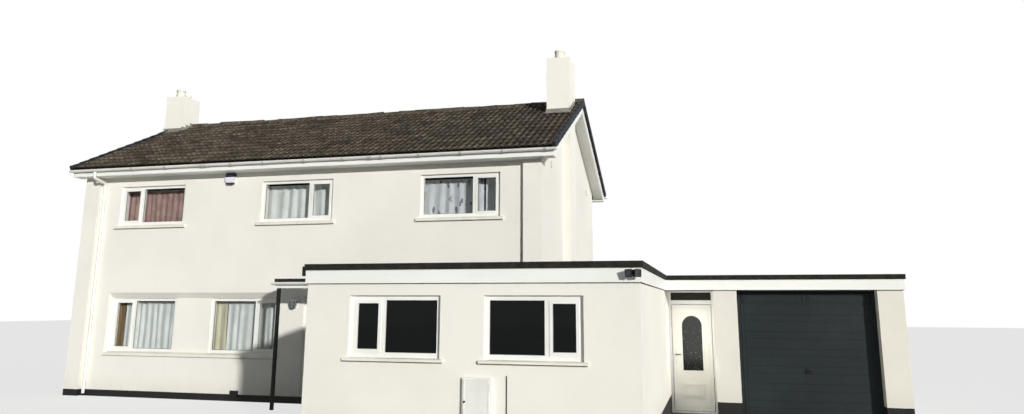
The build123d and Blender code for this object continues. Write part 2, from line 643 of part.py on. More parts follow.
def sill_with_ends(left, width, top, wall_face, facing=1, side=SILL_SIDE, thickness=SILL_THICKNESS):
    """The sill under an opening: a long nosing before the wall and a shorter tongue under the frame."""
    outer = wall_face - facing * SILL_PROUD
    at_wall = top - thickness / 8
    nose = [(wall_face, top - thickness), (outer, top - thickness), (outer, top - thickness / 4),
            (wall_face, at_wall)]
    section(nose, (left - side, left + width + side))
    inner = wall_face + facing * REVEAL
    tongue = [(inner, top - thickness), (wall_face, top - thickness), (wall_face, at_wall), (inner, top)]
    section(tongue, (left, left + width))


with BuildPart() as sills:
    for left in UPPER_LEFTS:
        sill_with_ends(left, UPPER_WINDOW_WIDTH, UPPER_WINDOW_SILL, FACADE)
        sill_with_ends(left, UPPER_WINDOW_WIDTH, UPPER_WINDOW_SILL, BACK_FACE, -1)
    for left in BACK_LOWER_LEFTS:
        sill_with_ends(left, LOWER_WINDOW_WIDTH, LOWER_WINDOW_SILL, BACK_FACE, -1)
    for left in WING_WINDOW_LEFTS:
        sill_with_ends(left, WING_WINDOW_WIDTH, WING_WINDOW_SILL, WING_FACE, 1, WING_SILL_SIDE,
                       WING_SILL_THICKNESS)
finish(sills, "sills")

with BuildPart() as band_sill:
    outer = FACADE - SILL_PROUD / 2
    top = BAND_SILL + BAND_SILL_THICKNESS
    nose_top = top - BAND_SILL_THICKNESS / 3
    section([(BAND_FACE, BAND_SILL), (FACADE, BAND_SILL), (FACADE, nose_top), (BAND_FACE, top)],
            (BAND_LEFT, BAND_RIGHT))
    section([(FACADE, BAND_SILL), (outer, BAND_SILL), (outer, nose_top), (FACADE, nose_top)],
            (BAND_LEFT - SILL_SIDE / 4, BAND_RIGHT + SILL_SIDE / 4))
finish(band_sill, "band_sill")

# Front entrance: a plain framed door, shut, in the shade of the porch
ENTRANCE_FACE = FACADE + REVEAL
with BuildPart() as front_door_frame:
    block((ENTRANCE_LEFT, ENTRANCE_LEFT + ENTRANCE_WIDTH), (ENTRANCE_FACE, ENTRANCE_FACE + DOOR_FRAME_DEPTH),
          (GROUND_FLOOR_LEVEL, GROUND_FLOOR_LEVEL + ENTRANCE_HEIGHT))
    block((ENTRANCE_LEFT + DOOR_FRAME_WIDTH, ENTRANCE_LEFT + ENTRANCE_WIDTH - DOOR_FRAME_WIDTH),
          (ENTRANCE_FACE, ENTRANCE_FACE + DOOR_FRAME_DEPTH),
          (GROUND_FLOOR_LEVEL + DOOR_SILL_HEIGHT, GROUND_FLOOR_LEVEL + ENTRANCE_HEIGHT - DOOR_FRAME_WIDTH),
          Mode.SUBTRACT)
finish(front_door_frame, "front_door_frame")

with BuildPart() as front_door:
    leaf_x = (ENTRANCE_LEFT + DOOR_FRAME_WIDTH, ENTRANCE_LEFT + ENTRANCE_WIDTH - DOOR_FRAME_WIDTH)
    leaf_z = (GROUND_FLOOR_LEVEL + DOOR_SILL_HEIGHT, GROUND_FLOOR_LEVEL + ENTRANCE_HEIGHT - DOOR_FRAME_WIDTH)
    leaf_y = ENTRANCE_FACE + SASH_PROUD
    block(leaf_x, (leaf_y, leaf_y + DOOR_LEAF_THICKNESS), leaf_z)
    panel_x = (leaf_x[0] + ENTRANCE_STILE, leaf_x[1] - ENTRANCE_STILE)
    for panel_z in ENTRANCE_PANELS:
        block(panel_x, (leaf_y, leaf_y + DOOR_BEAD_PROUD), panel_z, Mode.SUBTRACT)
finish(front_door, "front_door")

# Front wing
with BuildPart() as wing_front_wall:
    block((WING_LEFT, WING_RIGHT), (WING_FACE, WING_FACE + WALL), (0, FLAT_UNDERSIDE))
    for left in WING_WINDOW_LEFTS:
        block((left, left + WING_WINDOW_WIDTH), (WING_FACE, WING_FACE + WALL),
              (WING_WINDOW_SILL, WING_WINDOW_SILL + WING_WINDOW_HEIGHT), Mode.SUBTRACT)
        block((left, left + WING_WINDOW_WIDTH), (WING_FACE, WING_FACE + REVEAL),
              (WING_WINDOW_SILL - WING_SILL_THICKNESS, WING_WINDOW_SILL), Mode.SUBTRACT)
finish(wing_front_wall, "wing_front_wall")

with BuildPart() as wing_left_wall:
    block((WING_LEFT, WING_LEFT + WALL), (WING_FACE + WALL, FACADE), (0, FLAT_UNDERSIDE))
finish(wing_left_wall, "wing_left_wall")

with BuildPart() as wing_right_wall:
    block((WING_RIGHT - WALL, WING_RIGHT), (WING_FACE + WALL, DOOR_FACE + DOOR_FRAME_DEPTH),
          (0, FLAT_UNDERSIDE))
finish(wing_right_wall, "wing_right_wall")

# Side bay and garage walls
with BuildPart() as garage_left_wall:
    block((GARAGE_LEFT, GARAGE_LEFT + PIER_WIDTH), (-GARAGE_FRONT, -GARAGE_FRONT + PIER_DEPTH),
          (0, FLAT_UNDERSIDE))
    block((GARAGE_LEFT, GARAGE_LEFT + GARAGE_WALL), (-GARAGE_FRONT + PIER_DEPTH, BAY_BACK),
          (0, FLAT_UNDERSIDE))
finish(garage_left_wall, "garage_left_wall")

with BuildPart() as garage_right_wall:
    block((GARAGE_RIGHT - PIER_WIDTH, GARAGE_RIGHT), (-GARAGE_FRONT, -GARAGE_FRONT + PIER_DEPTH),
          (0, FLAT_UNDERSIDE))
    block((GARAGE_RIGHT - GARAGE_WALL, GARAGE_RIGHT), (-GARAGE_FRONT + PIER_DEPTH, BAY_BACK),
          (0, FLAT_UNDERSIDE))
finish(garage_right_wall, "garage_right_wall")

with BuildPart() as garage_back_wall:
    block((HOUSE_WIDTH, GARAGE_RIGHT), (BAY_BACK, GARAGE_BACK), (0, FLAT_UNDERSIDE))
finish(garage_back_wall, "garage_back_wall")

# Flat roof: a deck over wing, bay and garage, with a white fascia under a black felt edge
DECK_FRONT = -WING_FRONT - FLAT_REACH
DECK_BAY_FRONT = -GARAGE_FRONT - FLAT_REACH
DECK_RIGHT = GARAGE_RIGHT + FLAT_REACH
DECK_LEFT = WING_LEFT - FLAT_REACH
DECK_WING_RIGHT = WING_RIGHT + FLAT_REACH


def deck(grow, z, mode=Mode.ADD):
    """The flat roof's plan, grown outward at its free edges."""
    block((DECK_LEFT - grow, DECK_WING_RIGHT + grow), (DECK_FRONT - grow, 0), z, mode)
    block((DECK_LEFT - grow, HOUSE_WIDTH - FIN_WIDTH), (0, FACADE), z, mode)
    block((HOUSE_WIDTH, DECK_WING_RIGHT + grow), (0, GARAGE_BACK + FLAT_REACH + grow), z, mode)
    block((DECK_WING_RIGHT + grow, DECK_RIGHT + grow), (DECK_BAY_FRONT - grow, GARAGE_BACK + FLAT_REACH + grow),
          z, mode)


def porch(shrink, z, mode=Mode.ADD):
    """The porch canopy's plan, from its free corner to the wing and the house."""
    block((CANOPY_LEFT + shrink, DECK_LEFT), (-CANOPY_FRONT + shrink, FACADE), z, mode)


CANOPY_WHITE_TOP = CANOPY_TOP - CANOPY_EDGE
with BuildPart() as flat_roof_deck:
    deck(-BOARD, (FLAT_UNDERSIDE, FLAT_WHITE_TOP))
    cut_stacks()
finish(flat_roof_deck, "flat_roof_deck")

with BuildPart() as porch_deck:
    porch(BOARD, (CANOPY_UNDERSIDE, CANOPY_WHITE_TOP))
finish(porch_deck, "porch_deck")

with BuildPart() as roof_fascia:
    deck(0, (FLAT_UNDERSIDE, FLAT_WHITE_TOP))
    deck(-BOARD, (FLAT_UNDERSIDE, FLAT_WHITE_TOP), Mode.SUBTRACT)
    cut_stacks()
finish(roof_fascia, "roof_fascia")

with BuildPart() as porch_fascia:
    porch(0, (CANOPY_UNDERSIDE, CANOPY_WHITE_TOP))
    porch(BOARD, (CANOPY_UNDERSIDE, CANOPY_WHITE_TOP), Mode.SUBTRACT)
finish(porch_fascia, "porch_fascia")

with BuildPart() as roof_felt:
    deck(FLAT_EDGE_PROUD, (FLAT_WHITE_TOP, FLAT_TOP))
    cut_stacks()
finish(roof_felt, "roof_felt")

with BuildPart() as porch_felt:
    block((CANOPY_LEFT - FLAT_EDGE_PROUD, DECK_LEFT - FLAT_EDGE_PROUD),
          (-CANOPY_FRONT - FLAT_EDGE_PROUD, FACADE), (CANOPY_WHITE_TOP, CANOPY_TOP))
finish(porch_felt, "porch_felt")

with BuildPart() as porch_gutter:
    gutter(-CANOPY_FRONT - GUTTER_RADIUS, (CANOPY_LEFT - 3 * BOARD, DECK_LEFT), CANOPY_WHITE_TOP)
finish(porch_gutter, "porch_gutter")

with BuildPart() as porch_post:
    post_x = CANOPY_LEFT + POST_INSET
    post_y = -CANOPY_FRONT + POST_INSET
    block((post_x - POST_SIZE / 2, post_x + POST_SIZE / 2), (post_y - POST_SIZE / 2, post_y + POST_SIZE / 2),
          (0, CANOPY_UNDERSIDE))
finish(porch_post, "porch_post")

# Side door in its frame, with a glazed fanlight over it, on pins behind its right edge
BAY_LEFT, BAY_RIGHT = WING_RIGHT, GARAGE_LEFT
FRAME_Y = (DOOR_FACE, DOOR_FACE + DOOR_FRAME_DEPTH)
FANLIGHT_BOTTOM = FANLIGHT_RAIL_BOTTOM + FANLIGHT_RAIL_HEIGHT
LEAF_X = (BAY_LEFT + DOOR_FRAME_WIDTH + DOOR_GAP, BAY_RIGHT - DOOR_FRAME_WIDTH - DOOR_GAP)
LEAF_Y = (DOOR_FACE + SASH_PROUD, DOOR_FACE + SASH_PROUD + DOOR_LEAF_THICKNESS)
LEAF_Z = (YARD_FLOOR_LEVEL + DOOR_SILL_HEIGHT + DOOR_GAP, FANLIGHT_RAIL_BOTTOM - DOOR_GAP)
LEAF_MIDDLE = (LEAF_X[0] + LEAF_X[1]) / 2
HINGE_X = LEAF_X[1] + DOOR_GAP / 2
HINGE_Y = LEAF_Y[1] + HINGE_SET_BACK
with BuildPart() as side_door_frame:
    block((BAY_LEFT, BAY_RIGHT), FRAME_Y, (YARD_FLOOR_LEVEL, FLAT_UNDERSIDE))
    inner_x = (BAY_LEFT + DOOR_FRAME_WIDTH, BAY_RIGHT - DOOR_FRAME_WIDTH)
    block(inner_x, FRAME_Y, (YARD_FLOOR_LEVEL + DOOR_SILL_HEIGHT, FANLIGHT_RAIL_BOTTOM), Mode.SUBTRACT)
    block(inner_x, FRAME_Y, (FANLIGHT_BOTTOM, FLAT_UNDERSIDE - DOOR_FRAME_WIDTH / 2), Mode.SUBTRACT)
    for level in HINGE_LEVELS:
        end = HINGE_BARREL_HEIGHT / 2 + HINGE_PLAY
        for low, high in ((-end - HINGE_LUG, -end), (end, end + HINGE_LUG)):
            block((HINGE_X - HINGE_PIN_RADIUS, BAY_RIGHT - HINGE_LUG), (FRAME_Y[1], HINGE_Y + HINGE_PIN_RADIUS),
                  (level + low, level + high))
        with Locations((HINGE_X - MID_X, HINGE_Y - MID_Y, level)):
            Cylinder(HINGE_PIN_RADIUS, 2 * (end + HINGE_LUG))
finish(side_door_frame, "side_door_frame")

with BuildPart() as fanlight_glass:
    middle = DOOR_FACE + DOOR_FRAME_DEPTH / 2
    block(inner_x, (middle - GLASS / 2, middle + GLASS / 2),
          (FANLIGHT_BOTTOM, FLAT_UNDERSIDE - DOOR_FRAME_WIDTH / 2))
finish(fanlight_glass, "fanlight_glass")


def arched_light(width, bottom, spring):
    """The outline of the door's light: straight sides under a round head."""
    half = width / 2
    centre = LEAF_MIDDLE - MID_X
    with BuildLine() as outline:
        Polyline([(centre - half, spring), (centre - half, bottom), (centre + half, bottom),
                  (centre + half, spring)])
        ThreePointArc((centre + half, spring), (centre, spring + half), (centre - half, spring))
    make_face(outline.edges())


with BuildPart() as side_door:
    block(LEAF_X, LEAF_Y, LEAF_Z)
    with BuildSketch(Plane.XZ.offset(-(LEAF_Y[0] - MID_Y))):
        arched_light(DOOR_GLASS_WIDTH + 2 * DOOR_BEAD, DOOR_GLASS_BOTTOM - DOOR_BEAD, DOOR_GLASS_SPRING)
    extrude(amount=DOOR_BEAD_PROUD)
    with BuildSketch(Plane.XZ.offset(-(LEAF_Y[1] - MID_Y))):
        arched_light(DOOR_GLASS_WIDTH, DOOR_GLASS_BOTTOM, DOOR_GLASS_SPRING)
    extrude(amount=DOOR_LEAF_THICKNESS + DOOR_BEAD_PROUD, mode=Mode.SUBTRACT)
    panel_half = DOOR_GLASS_WIDTH / 2 + 2 * DOOR_BEAD
    panel_x = (LEAF_MIDDLE - panel_half, LEAF_MIDDLE + panel_half)
    panel_z = (DOOR_PANEL_BOTTOM, DOOR_PANEL_BOTTOM + DOOR_PANEL_HEIGHT)
    block(panel_x, (LEAF_Y[0], LEAF_Y[0] + DOOR_BEAD_PROUD), panel_z, Mode.SUBTRACT)
    block((panel_x[0] + 2 * DOOR_BEAD, panel_x[1] - 2 * DOOR_BEAD), (LEAF_Y[0], LEAF_Y[0] + DOOR_BEAD_PROUD),
          (panel_z[0] + 2 * DOOR_BEAD, panel_z[1] - 2 * DOOR_BEAD))
    for level in HINGE_LEVELS:
        flap_z = (level - HINGE_BARREL_HEIGHT / 2, level + HINGE_BARREL_HEIGHT / 2)
        block((LEAF_X[1] - HINGE_FLAP, HINGE_X - HINGE_BARREL_RADIUS * 0.7),
              (LEAF_Y[1], HINGE_Y - HINGE_PIN_RADIUS), flap_z)
        with Locations((HINGE_X - MID_X, HINGE_Y - MID_Y, level)):
            Cylinder(HINGE_BARREL_RADIUS, HINGE_BARREL_HEIGHT)
            Cylinder(HINGE_PIN_RADIUS + HINGE_PLAY, HINGE_BARREL_HEIGHT, mode=Mode.SUBTRACT)
finish(side_door, "side_door")

with BuildPart() as side_door_glass:
    middle = (LEAF_Y[0] + LEAF_Y[1]) / 2
    with BuildSketch(Plane.XZ.offset(-(middle + GLASS / 2 - MID_Y))):
        arched_light(DOOR_GLASS_WIDTH, DOOR_GLASS_BOTTOM, DOOR_GLASS_SPRING)
    extrude(amount=GLASS)
finish(side_door_glass, "side_door_glass")

PLATE_WIDTH = 32
PLATE_HEIGHT = 220
PLATE_THICKNESS = 8
LEVER_RADIUS = 9
LEVER_REACH = 42
LEVER_LENGTH = 110
with BuildPart() as side_door_handle:
    plate_x = LEAF_X[0] + HANDLE_BACKSET
    block((plate_x - PLATE_WIDTH / 2, plate_x + PLATE_WIDTH / 2), (LEAF_Y[0] - PLATE_THICKNESS, LEAF_Y[0]),
          (HANDLE_HEIGHT - PLATE_HEIGHT * 0.7, HANDLE_HEIGHT + PLATE_HEIGHT * 0.3))
    with BuildSketch(Plane.XZ.offset(-(LEAF_Y[0] - PLATE_THICKNESS - MID_Y))):
        with Locations((plate_x - MID_X, HANDLE_HEIGHT)):
            Circle(LEVER_RADIUS)
    extrude(amount=LEVER_REACH)
    with BuildSketch(Plane.YZ.offset(plate_x - LEVER_RADIUS - MID_X)):
        with Locations((LEAF_Y[0] - PLATE_THICKNESS - LEVER_REACH - MID_Y, HANDLE_HEIGHT)):
            Circle(LEVER_RADIUS)
    extrude(amount=LEVER_LENGTH)
finish(side_door_handle, "side_door_handle")

# Garage door: a framed, ribbed steel leaf that swings up and in
GARAGE_FACE = -GARAGE_FRONT + GARAGE_FRAME_FACE
GARAGE_HEAD = FLAT_UNDERSIDE - GARAGE_FRAME / 2
GARAGE_LEAF_X = (OPENING_X[0] + GARAGE_FRAME + GARAGE_DOOR_GAP, OPENING_X[1] - GARAGE_FRAME - GARAGE_DOOR_GAP)
GARAGE_LEAF_Y = (GARAGE_FACE, GARAGE_FACE + GARAGE_DOOR_THICKNESS)
GARAGE_LEAF_Z = (YARD_FLOOR_LEVEL + GARAGE_DOOR_GAP, GARAGE_HEAD - GARAGE_DOOR_GAP)
GARAGE_PIVOT_Y = (GARAGE_LEAF_Y[0] + GARAGE_LEAF_Y[1]) / 2
GARAGE_PIVOT_Z = GARAGE_LEAF_Z[1] - GARAGE_PIVOT_DROP


def garage_pivots(radius, length, mode=Mode.ADD):
    """Round pivots that stand out of both edges of the garage door."""
    for x, turn in ((GARAGE_LEAF_X[0], -90), (GARAGE_LEAF_X[1], 90)):
        with Locations(Location((x - MID_X, GARAGE_PIVOT_Y - MID_Y, GARAGE_PIVOT_Z), (0, turn, 0))):
            Cylinder(radius, length, align=(Align.CENTER, Align.CENTER, Align.MIN), mode=mode)


with BuildPart() as garage_frame:
    frame_y = (GARAGE_FACE, GARAGE_FACE + GARAGE_FRAME_DEPTH)
    block(OPENING_X, frame_y, (YARD_FLOOR_LEVEL, FLAT_UNDERSIDE))
    block((OPENING_X[0] + GARAGE_FRAME, OPENING_X[1] - GARAGE_FRAME), frame_y,
          (YARD_FLOOR_LEVEL, GARAGE_HEAD), Mode.SUBTRACT)
    garage_pivots(GARAGE_PIVOT_RADIUS + HINGE_PLAY, GARAGE_PIVOT_LENGTH + HINGE_PLAY, Mode.SUBTRACT)
finish(garage_frame, "garage_frame")

with BuildPart() as garage_door:
    block(GARAGE_LEAF_X, GARAGE_LEAF_Y, GARAGE_LEAF_Z)
    block((GARAGE_LEAF_X[0] + GARAGE_RAIL, GARAGE_LEAF_X[1] - GARAGE_RAIL),
          (GARAGE_LEAF_Y[0] + GARAGE_SKIN, GARAGE_LEAF_Y[1]),
          (GARAGE_LEAF_Z[0] + GARAGE_RAIL, GARAGE_LEAF_Z[1] - GARAGE_RAIL), Mode.SUBTRACT)
    garage_pivots(GARAGE_PIVOT_RADIUS, GARAGE_PIVOT_LENGTH)
finish(garage_door, "garage_door")

with BuildPart() as garage_handle:
    middle = (GARAGE_LEAF_X[0] + GARAGE_LEAF_X[1]) / 2
    with BuildSketch(Plane.XZ.offset(-(GARAGE_LEAF_Y[0] - MID_Y))):
        with Locations((middle - MID_X, GARAGE_HANDLE_LEVEL)):
            Circle(LEVER_RADIUS)
    extrude(amount=GARAGE_HANDLE_REACH)
    with BuildSketch(Plane.YZ.offset(middle - GARAGE_HANDLE_LENGTH / 2 - MID_X)):
        with Locations((GARAGE_LEAF_Y[0] - GARAGE_HANDLE_REACH - MID_Y, GARAGE_HANDLE_LEVEL)):
            Circle(LEVER_RADIUS)
    extrude(amount=GARAGE_HANDLE_LENGTH)
finish(garage_handle, "garage_handle")

# Fittings on the walls
with BuildPart() as meter_box:
    block((METER_LEFT, METER_LEFT + METER_WIDTH), (WING_FACE - METER_PROUD, WING_FACE),
          (METER_TOP - METER_HEIGHT, METER_TOP))
finish(meter_box, "meter_box")

with BuildPart() as alarm_box:
    left, right = ALARM_LEFT - MID_X, ALARM_LEFT + ALARM_WIDTH - MID_X
    waist, foot = ALARM_TOP - ALARM_HEIGHT / 2, ALARM_TOP - ALARM_HEIGHT
    with BuildSketch(Plane.XZ.offset(-(FACADE - MID_Y))):
        with BuildLine():
            Polyline([(left + ALARM_TAPER, foot), (right - ALARM_TAPER, foot), (right, waist),
                      (right - ALARM_TAPER / 2, ALARM_TOP), (left + ALARM_TAPER / 2, ALARM_TOP), (left, waist)],
                     close=True)
        make_face()
    extrude(amount=ALARM_PROUD)
finish(alarm_box, "alarm_box")

def square(side, level, y):
    """A square section of the lantern, centred under its arm."""
    with BuildSketch(Plane.XY.offset(level)) as profile:
        with Locations((LANTERN_X - MID_X, y - MID_Y)):
            Rectangle(side, side)
    return profile.sketch


with BuildPart() as wall_lantern:
    cage_y = FACADE - LANTERN_PROUD + LANTERN_WIDTH / 2
    cage_top = LANTERN_FOOT + LANTERN_CAGE_HEIGHT
    block((LANTERN_X - LANTERN_WIDTH / 3, LANTERN_X + LANTERN_WIDTH / 3), (FACADE - LANTERN_BACKPLATE, FACADE),
          (LANTERN_FOOT, LANTERN_FOOT + LANTERN_HEIGHT))
    block((LANTERN_X - LANTERN_BACKPLATE / 2, LANTERN_X + LANTERN_BACKPLATE / 2),
          (cage_y, FACADE - LANTERN_BACKPLATE), (LANTERN_FOOT + LANTERN_ARM[0], LANTERN_FOOT + LANTERN_ARM[1]))
    waist = square(LANTERN_WIDTH, cage_top, cage_y)
    loft([square(LANTERN_CAGE_FOOT, LANTERN_FOOT, cage_y), waist])
    loft([waist, square(LANTERN_CAP_TOP, LANTERN_FOOT + LANTERN_HEIGHT, cage_y)])
finish(wall_lantern, "wall_lantern")

with BuildPart() as floodlight:
    front = DECK_FRONT - FLOODLIGHT_PROUD
    for side in (-1, 1):
        head_x = FLOODLIGHT_X + side * (FLOODLIGHT_HEAD + FLOODLIGHT_GAP) / 2
        block((head_x - FLOODLIGHT_HEAD / 2, head_x + FLOODLIGHT_HEAD / 2),
              (front, front + FLOODLIGHT_HEAD_DEPTH),
              (FLOODLIGHT_LEVEL, FLOODLIGHT_LEVEL + FLOODLIGHT_HEIGHT))
    middle = FLOODLIGHT_LEVEL + FLOODLIGHT_HEIGHT / 2
    block((FLOODLIGHT_X - FLOODLIGHT_MOUNT_WIDTH / 2, FLOODLIGHT_X + FLOODLIGHT_MOUNT_WIDTH / 2),
          (DECK_FRONT - FLOODLIGHT_MOUNT_DEPTH, DECK_FRONT),
          (middle - FLOODLIGHT_MOUNT_HEIGHT / 2, middle + FLOODLIGHT_MOUNT_HEIGHT / 2))
finish(floodlight, "floodlight")
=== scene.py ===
"""A detached house with a flat-roofed front wing and a garage: its finishes, its roof coverings,
its window furniture and its fittings, over the house's own solids."""

import math
import random

import bmesh
import bpy
from mathutils import Matrix, Vector


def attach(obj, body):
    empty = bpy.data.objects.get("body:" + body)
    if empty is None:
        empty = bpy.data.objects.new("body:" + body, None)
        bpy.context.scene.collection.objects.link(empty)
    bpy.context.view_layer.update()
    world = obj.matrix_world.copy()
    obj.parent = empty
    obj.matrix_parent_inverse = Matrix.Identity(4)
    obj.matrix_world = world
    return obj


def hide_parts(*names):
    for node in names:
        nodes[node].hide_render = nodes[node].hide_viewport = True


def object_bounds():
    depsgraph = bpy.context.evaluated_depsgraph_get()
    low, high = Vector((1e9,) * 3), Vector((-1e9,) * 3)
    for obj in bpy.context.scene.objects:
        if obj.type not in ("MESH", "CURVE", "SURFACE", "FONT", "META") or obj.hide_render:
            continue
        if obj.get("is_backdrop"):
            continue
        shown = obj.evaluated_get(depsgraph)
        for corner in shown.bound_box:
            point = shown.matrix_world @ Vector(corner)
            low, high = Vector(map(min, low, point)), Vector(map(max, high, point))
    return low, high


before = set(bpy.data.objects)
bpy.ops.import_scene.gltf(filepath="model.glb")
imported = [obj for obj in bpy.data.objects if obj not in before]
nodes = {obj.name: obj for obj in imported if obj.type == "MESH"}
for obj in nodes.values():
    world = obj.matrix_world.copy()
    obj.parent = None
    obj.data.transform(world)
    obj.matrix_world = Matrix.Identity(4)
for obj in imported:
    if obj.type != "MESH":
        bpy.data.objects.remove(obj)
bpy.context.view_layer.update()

chance = random.Random(1931)
show = bpy.context.scene.collection.objects.link

# where the row's origin lies in the house's own millimetres
MIDDLE_X, MIDDLE_Y = 8849.0, 805.0

# the faces of the front wall, the back wall, the wing's front wall and the right gable
FACADE_Y, BACK_FACE_Y, WING_FACE_Y, GABLE_X = 95, 6800, -5410, 11400

# the tiled slopes: their pitch, their edges and their courses
PITCH_RISE = 0.4986
PITCH = math.atan(PITCH_RISE)
RIDGE_Y, RIDGE_TILE_Z = 3400.0, 7163.7
EAVES_Y = -358.0
SLOPE_LENGTH = (RIDGE_Y - EAVES_Y) / math.cos(PITCH) / 1000.0
COURSES = 13
TILES_ACROSS = 40
SLAB_LEFT, SLAB_RIGHT = -122.0, 11692.0
SLAB_MIDDLE = (SLAB_LEFT + SLAB_RIGHT) / 2
GAUGE = SLOPE_LENGTH / COURSES
COVER = (SLAB_RIGHT - SLAB_LEFT) / TILES_ACROSS / 1000.0

# each stack's width, depth and top
STACKS = {
    "left": ((-270, 300), (2850, 3570), 7930),
    "right": ((11000, 11570), (2400, 3120), 8060),
}


def at(x, y, z):
    """A place in the house's own millimetres, as a point in metres in the row."""
    return Vector(((x - MIDDLE_X) / 1000.0, (y - MIDDLE_Y) / 1000.0, z / 1000.0))


def let_go():
    """Leaves edit mode, with nothing selected."""
    if bpy.context.object and bpy.context.object.mode != "OBJECT":
        bpy.ops.object.mode_set(mode="OBJECT")
    bpy.ops.object.select_all(action="DESELECT")


def hold(piece):
    """Selects just the piece and makes it the active one."""
    let_go()
    piece.select_set(True)
    bpy.context.view_layer.objects.active = piece


def settle(piece):
    """Puts the piece's place, turn and scale into its mesh."""
    hold(piece)
    bpy.ops.object.transform_apply(location=True, rotation=True, scale=True)
    return piece


def box(name, low, high):
    """A box between two corners given in the house's millimetres."""
    let_go()
    a, b = at(*low), at(*high)
    bpy.ops.mesh.primitive_cube_add(size=1, location=(a + b) / 2, scale=b - a)
    bpy.context.object.name = name
    return settle(bpy.context.object)


def rod(name, start, end, radius, sides=16):
    """A round bar between two points in metres."""
    let_go()
    run = end - start
    bpy.ops.mesh.primitive_cylinder_add(
        vertices=sides, radius=radius, depth=run.length, location=(start + end) / 2,
        rotation=run.to_track_quat("Z", "Y").to_euler())
    bpy.context.object.name = name
    return settle(bpy.context.object)


def upright(name, x, y, z, half, radius, sides):
    """A round bar that stands half of its height on each side of a place."""
    return rod(name, at(x, y, z - half), at(x, y, z + half), radius, sides)


def pick(piece, test, kind="FACE"):
    """Opens the piece in edit mode, with just what passes the test selected."""
    hold(piece)
    bpy.ops.object.mode_set(mode="EDIT")
    bpy.ops.mesh.select_mode(type=kind)
    bpy.ops.mesh.select_all(action="DESELECT")
    shape = bmesh.from_edit_mesh(piece.data)
    parts = {"FACE": shape.faces, "EDGE": shape.edges, "VERT": shape.verts}[kind]
    for part in parts:
        part.select_set(bool(test(part)))
    shape.select_flush_mode()
    bmesh.update_edit_mesh(piece.data)


def facing(x, y, z):
    """A test for pick: the faces that look along a direction."""
    aim = Vector((x, y, z))
    return lambda face: face.normal.dot(aim) > 0.9


def push(x, y, z):
    """Draws what is selected out by a step in metres."""
    bpy.ops.mesh.extrude_region_move(TRANSFORM_OT_translate={"value": (x, y, z)})


def draw_in(x, y, z, centre):
    """Scales what is selected about a centre."""
    bpy.ops.transform.resize(value=(x, y, z), center_override=centre)


def panel(piece, rim, step):
    """Insets the front face by a rim and draws its middle along y by a step, in metres."""
    pick(piece, facing(0, -1, 0))
    bpy.ops.mesh.inset(thickness=rim)
    push(0, step, 0)
    let_go()


def shaped(piece, kind, **settings):
    """Works one modifier, with its settings, into the piece's mesh."""
    hold(piece)
    modifier = piece.modifiers.new("shape", kind)
    for setting, value in settings.items():
        setattr(modifier, setting, value)
    bpy.ops.object.modifier_apply(modifier=modifier.name)
    return piece


def round_edges(piece, width, segments=2, angle=0.6):
    """Bevels every edge of the piece that is sharper than the angle."""
    return shaped(piece, "BEVEL", width=width, segments=segments, limit_method="ANGLE",
                  angle_limit=angle)


def thicken(piece, thickness, offset=-1.0):
    """Gives a sheet a thickness in metres."""
    return shaped(piece, "SOLIDIFY", thickness=thickness, offset=offset)


def again(piece, matrix):
    """Another of the same piece, with a mesh of its own, moved by the matrix."""
    other = piece.copy()
    other.data = piece.data.copy()
    other.data.transform(matrix)
    show(other)
    return other


def drop(piece):
    """Removes a piece that was only a pattern."""
    bpy.data.objects.remove(piece)


def join(name, parts):
    """One piece from several, under a name."""
    let_go()
    for part in parts:
        part.select_set(True)
    bpy.context.view_layer.objects.active = parts[0]
    if len(parts) > 1:
        bpy.ops.object.join()
    whole = bpy.context.object
    whole.name = whole.data.name = name
    return whole


def soften(piece, angle=0.6):
    """Smooth shading over edges that are flatter than the angle."""
    hold(piece)
    bpy.ops.object.shade_smooth_by_angle(angle=angle)
    return piece


def mark(piece, name, value):
    """One number over the whole piece, kept when it is joined to others."""
    layer = piece.data.attributes.new(name, "FLOAT", "FACE")
    layer.data.foreach_set("value", [value] * len(piece.data.polygons))


def srgb(red, green, blue):
    """A colour as a screen shows it, 0 to 255, as the linear one that materials take."""
    def linear(level):
        level /= 255.0
        return level / 12.92 if level <= 0.04045 else ((level + 0.055) / 1.055) ** 2.4
    return (linear(red), linear(green), linear(blue), 1.0)


# in metres in the row: the plinths' tops, the right breast's front and top, the line before
# which the panes are the wing's, and the one before which the lever lies
HOUSE_PLINTH, YARD_PLINTH = 0.145, 0.40
BREAST_FRONT, BREAST_TOP = (STACKS["right"][1][0] - MIDDLE_Y) / 1000.0, 6.35
WING_BEFORE, LEVER_PLANE = -3.0, (498.0 - MIDDLE_Y) / 1000.0

MATT = {"Specular_IOR_Level": 0.12}


class Wire:
    """A socket that is worked with like a number."""

    def __init__(self, finish, socket):
        self.finish, self.socket = finish, socket

    def sum(self, operation, first, second=0.0, clamp=False):
        return self.finish.node("ShaderNodeMath", {"operation": operation, "use_clamp": clamp},
                                {0: first, 1: second})

    def __add__(self, other):
        return self.sum("ADD", self, other)

    def __sub__(self, other):
        return self.sum("SUBTRACT", self, other)

    def __rsub__(self, other):
        return self.sum("SUBTRACT", other, self)

    def __mul__(self, other):
        return self.sum("MULTIPLY", self, other)

    def __gt__(self, other):
        return self.sum("GREATER_THAN", self, other)

    def __lt__(self, other):
        return self.sum("LESS_THAN", self, other)

    def __mod__(self, other):
        return self.sum("FLOORED_MODULO", self, other)

    def clamp(self):
        return self.sum("ADD", self, 0.0, True)


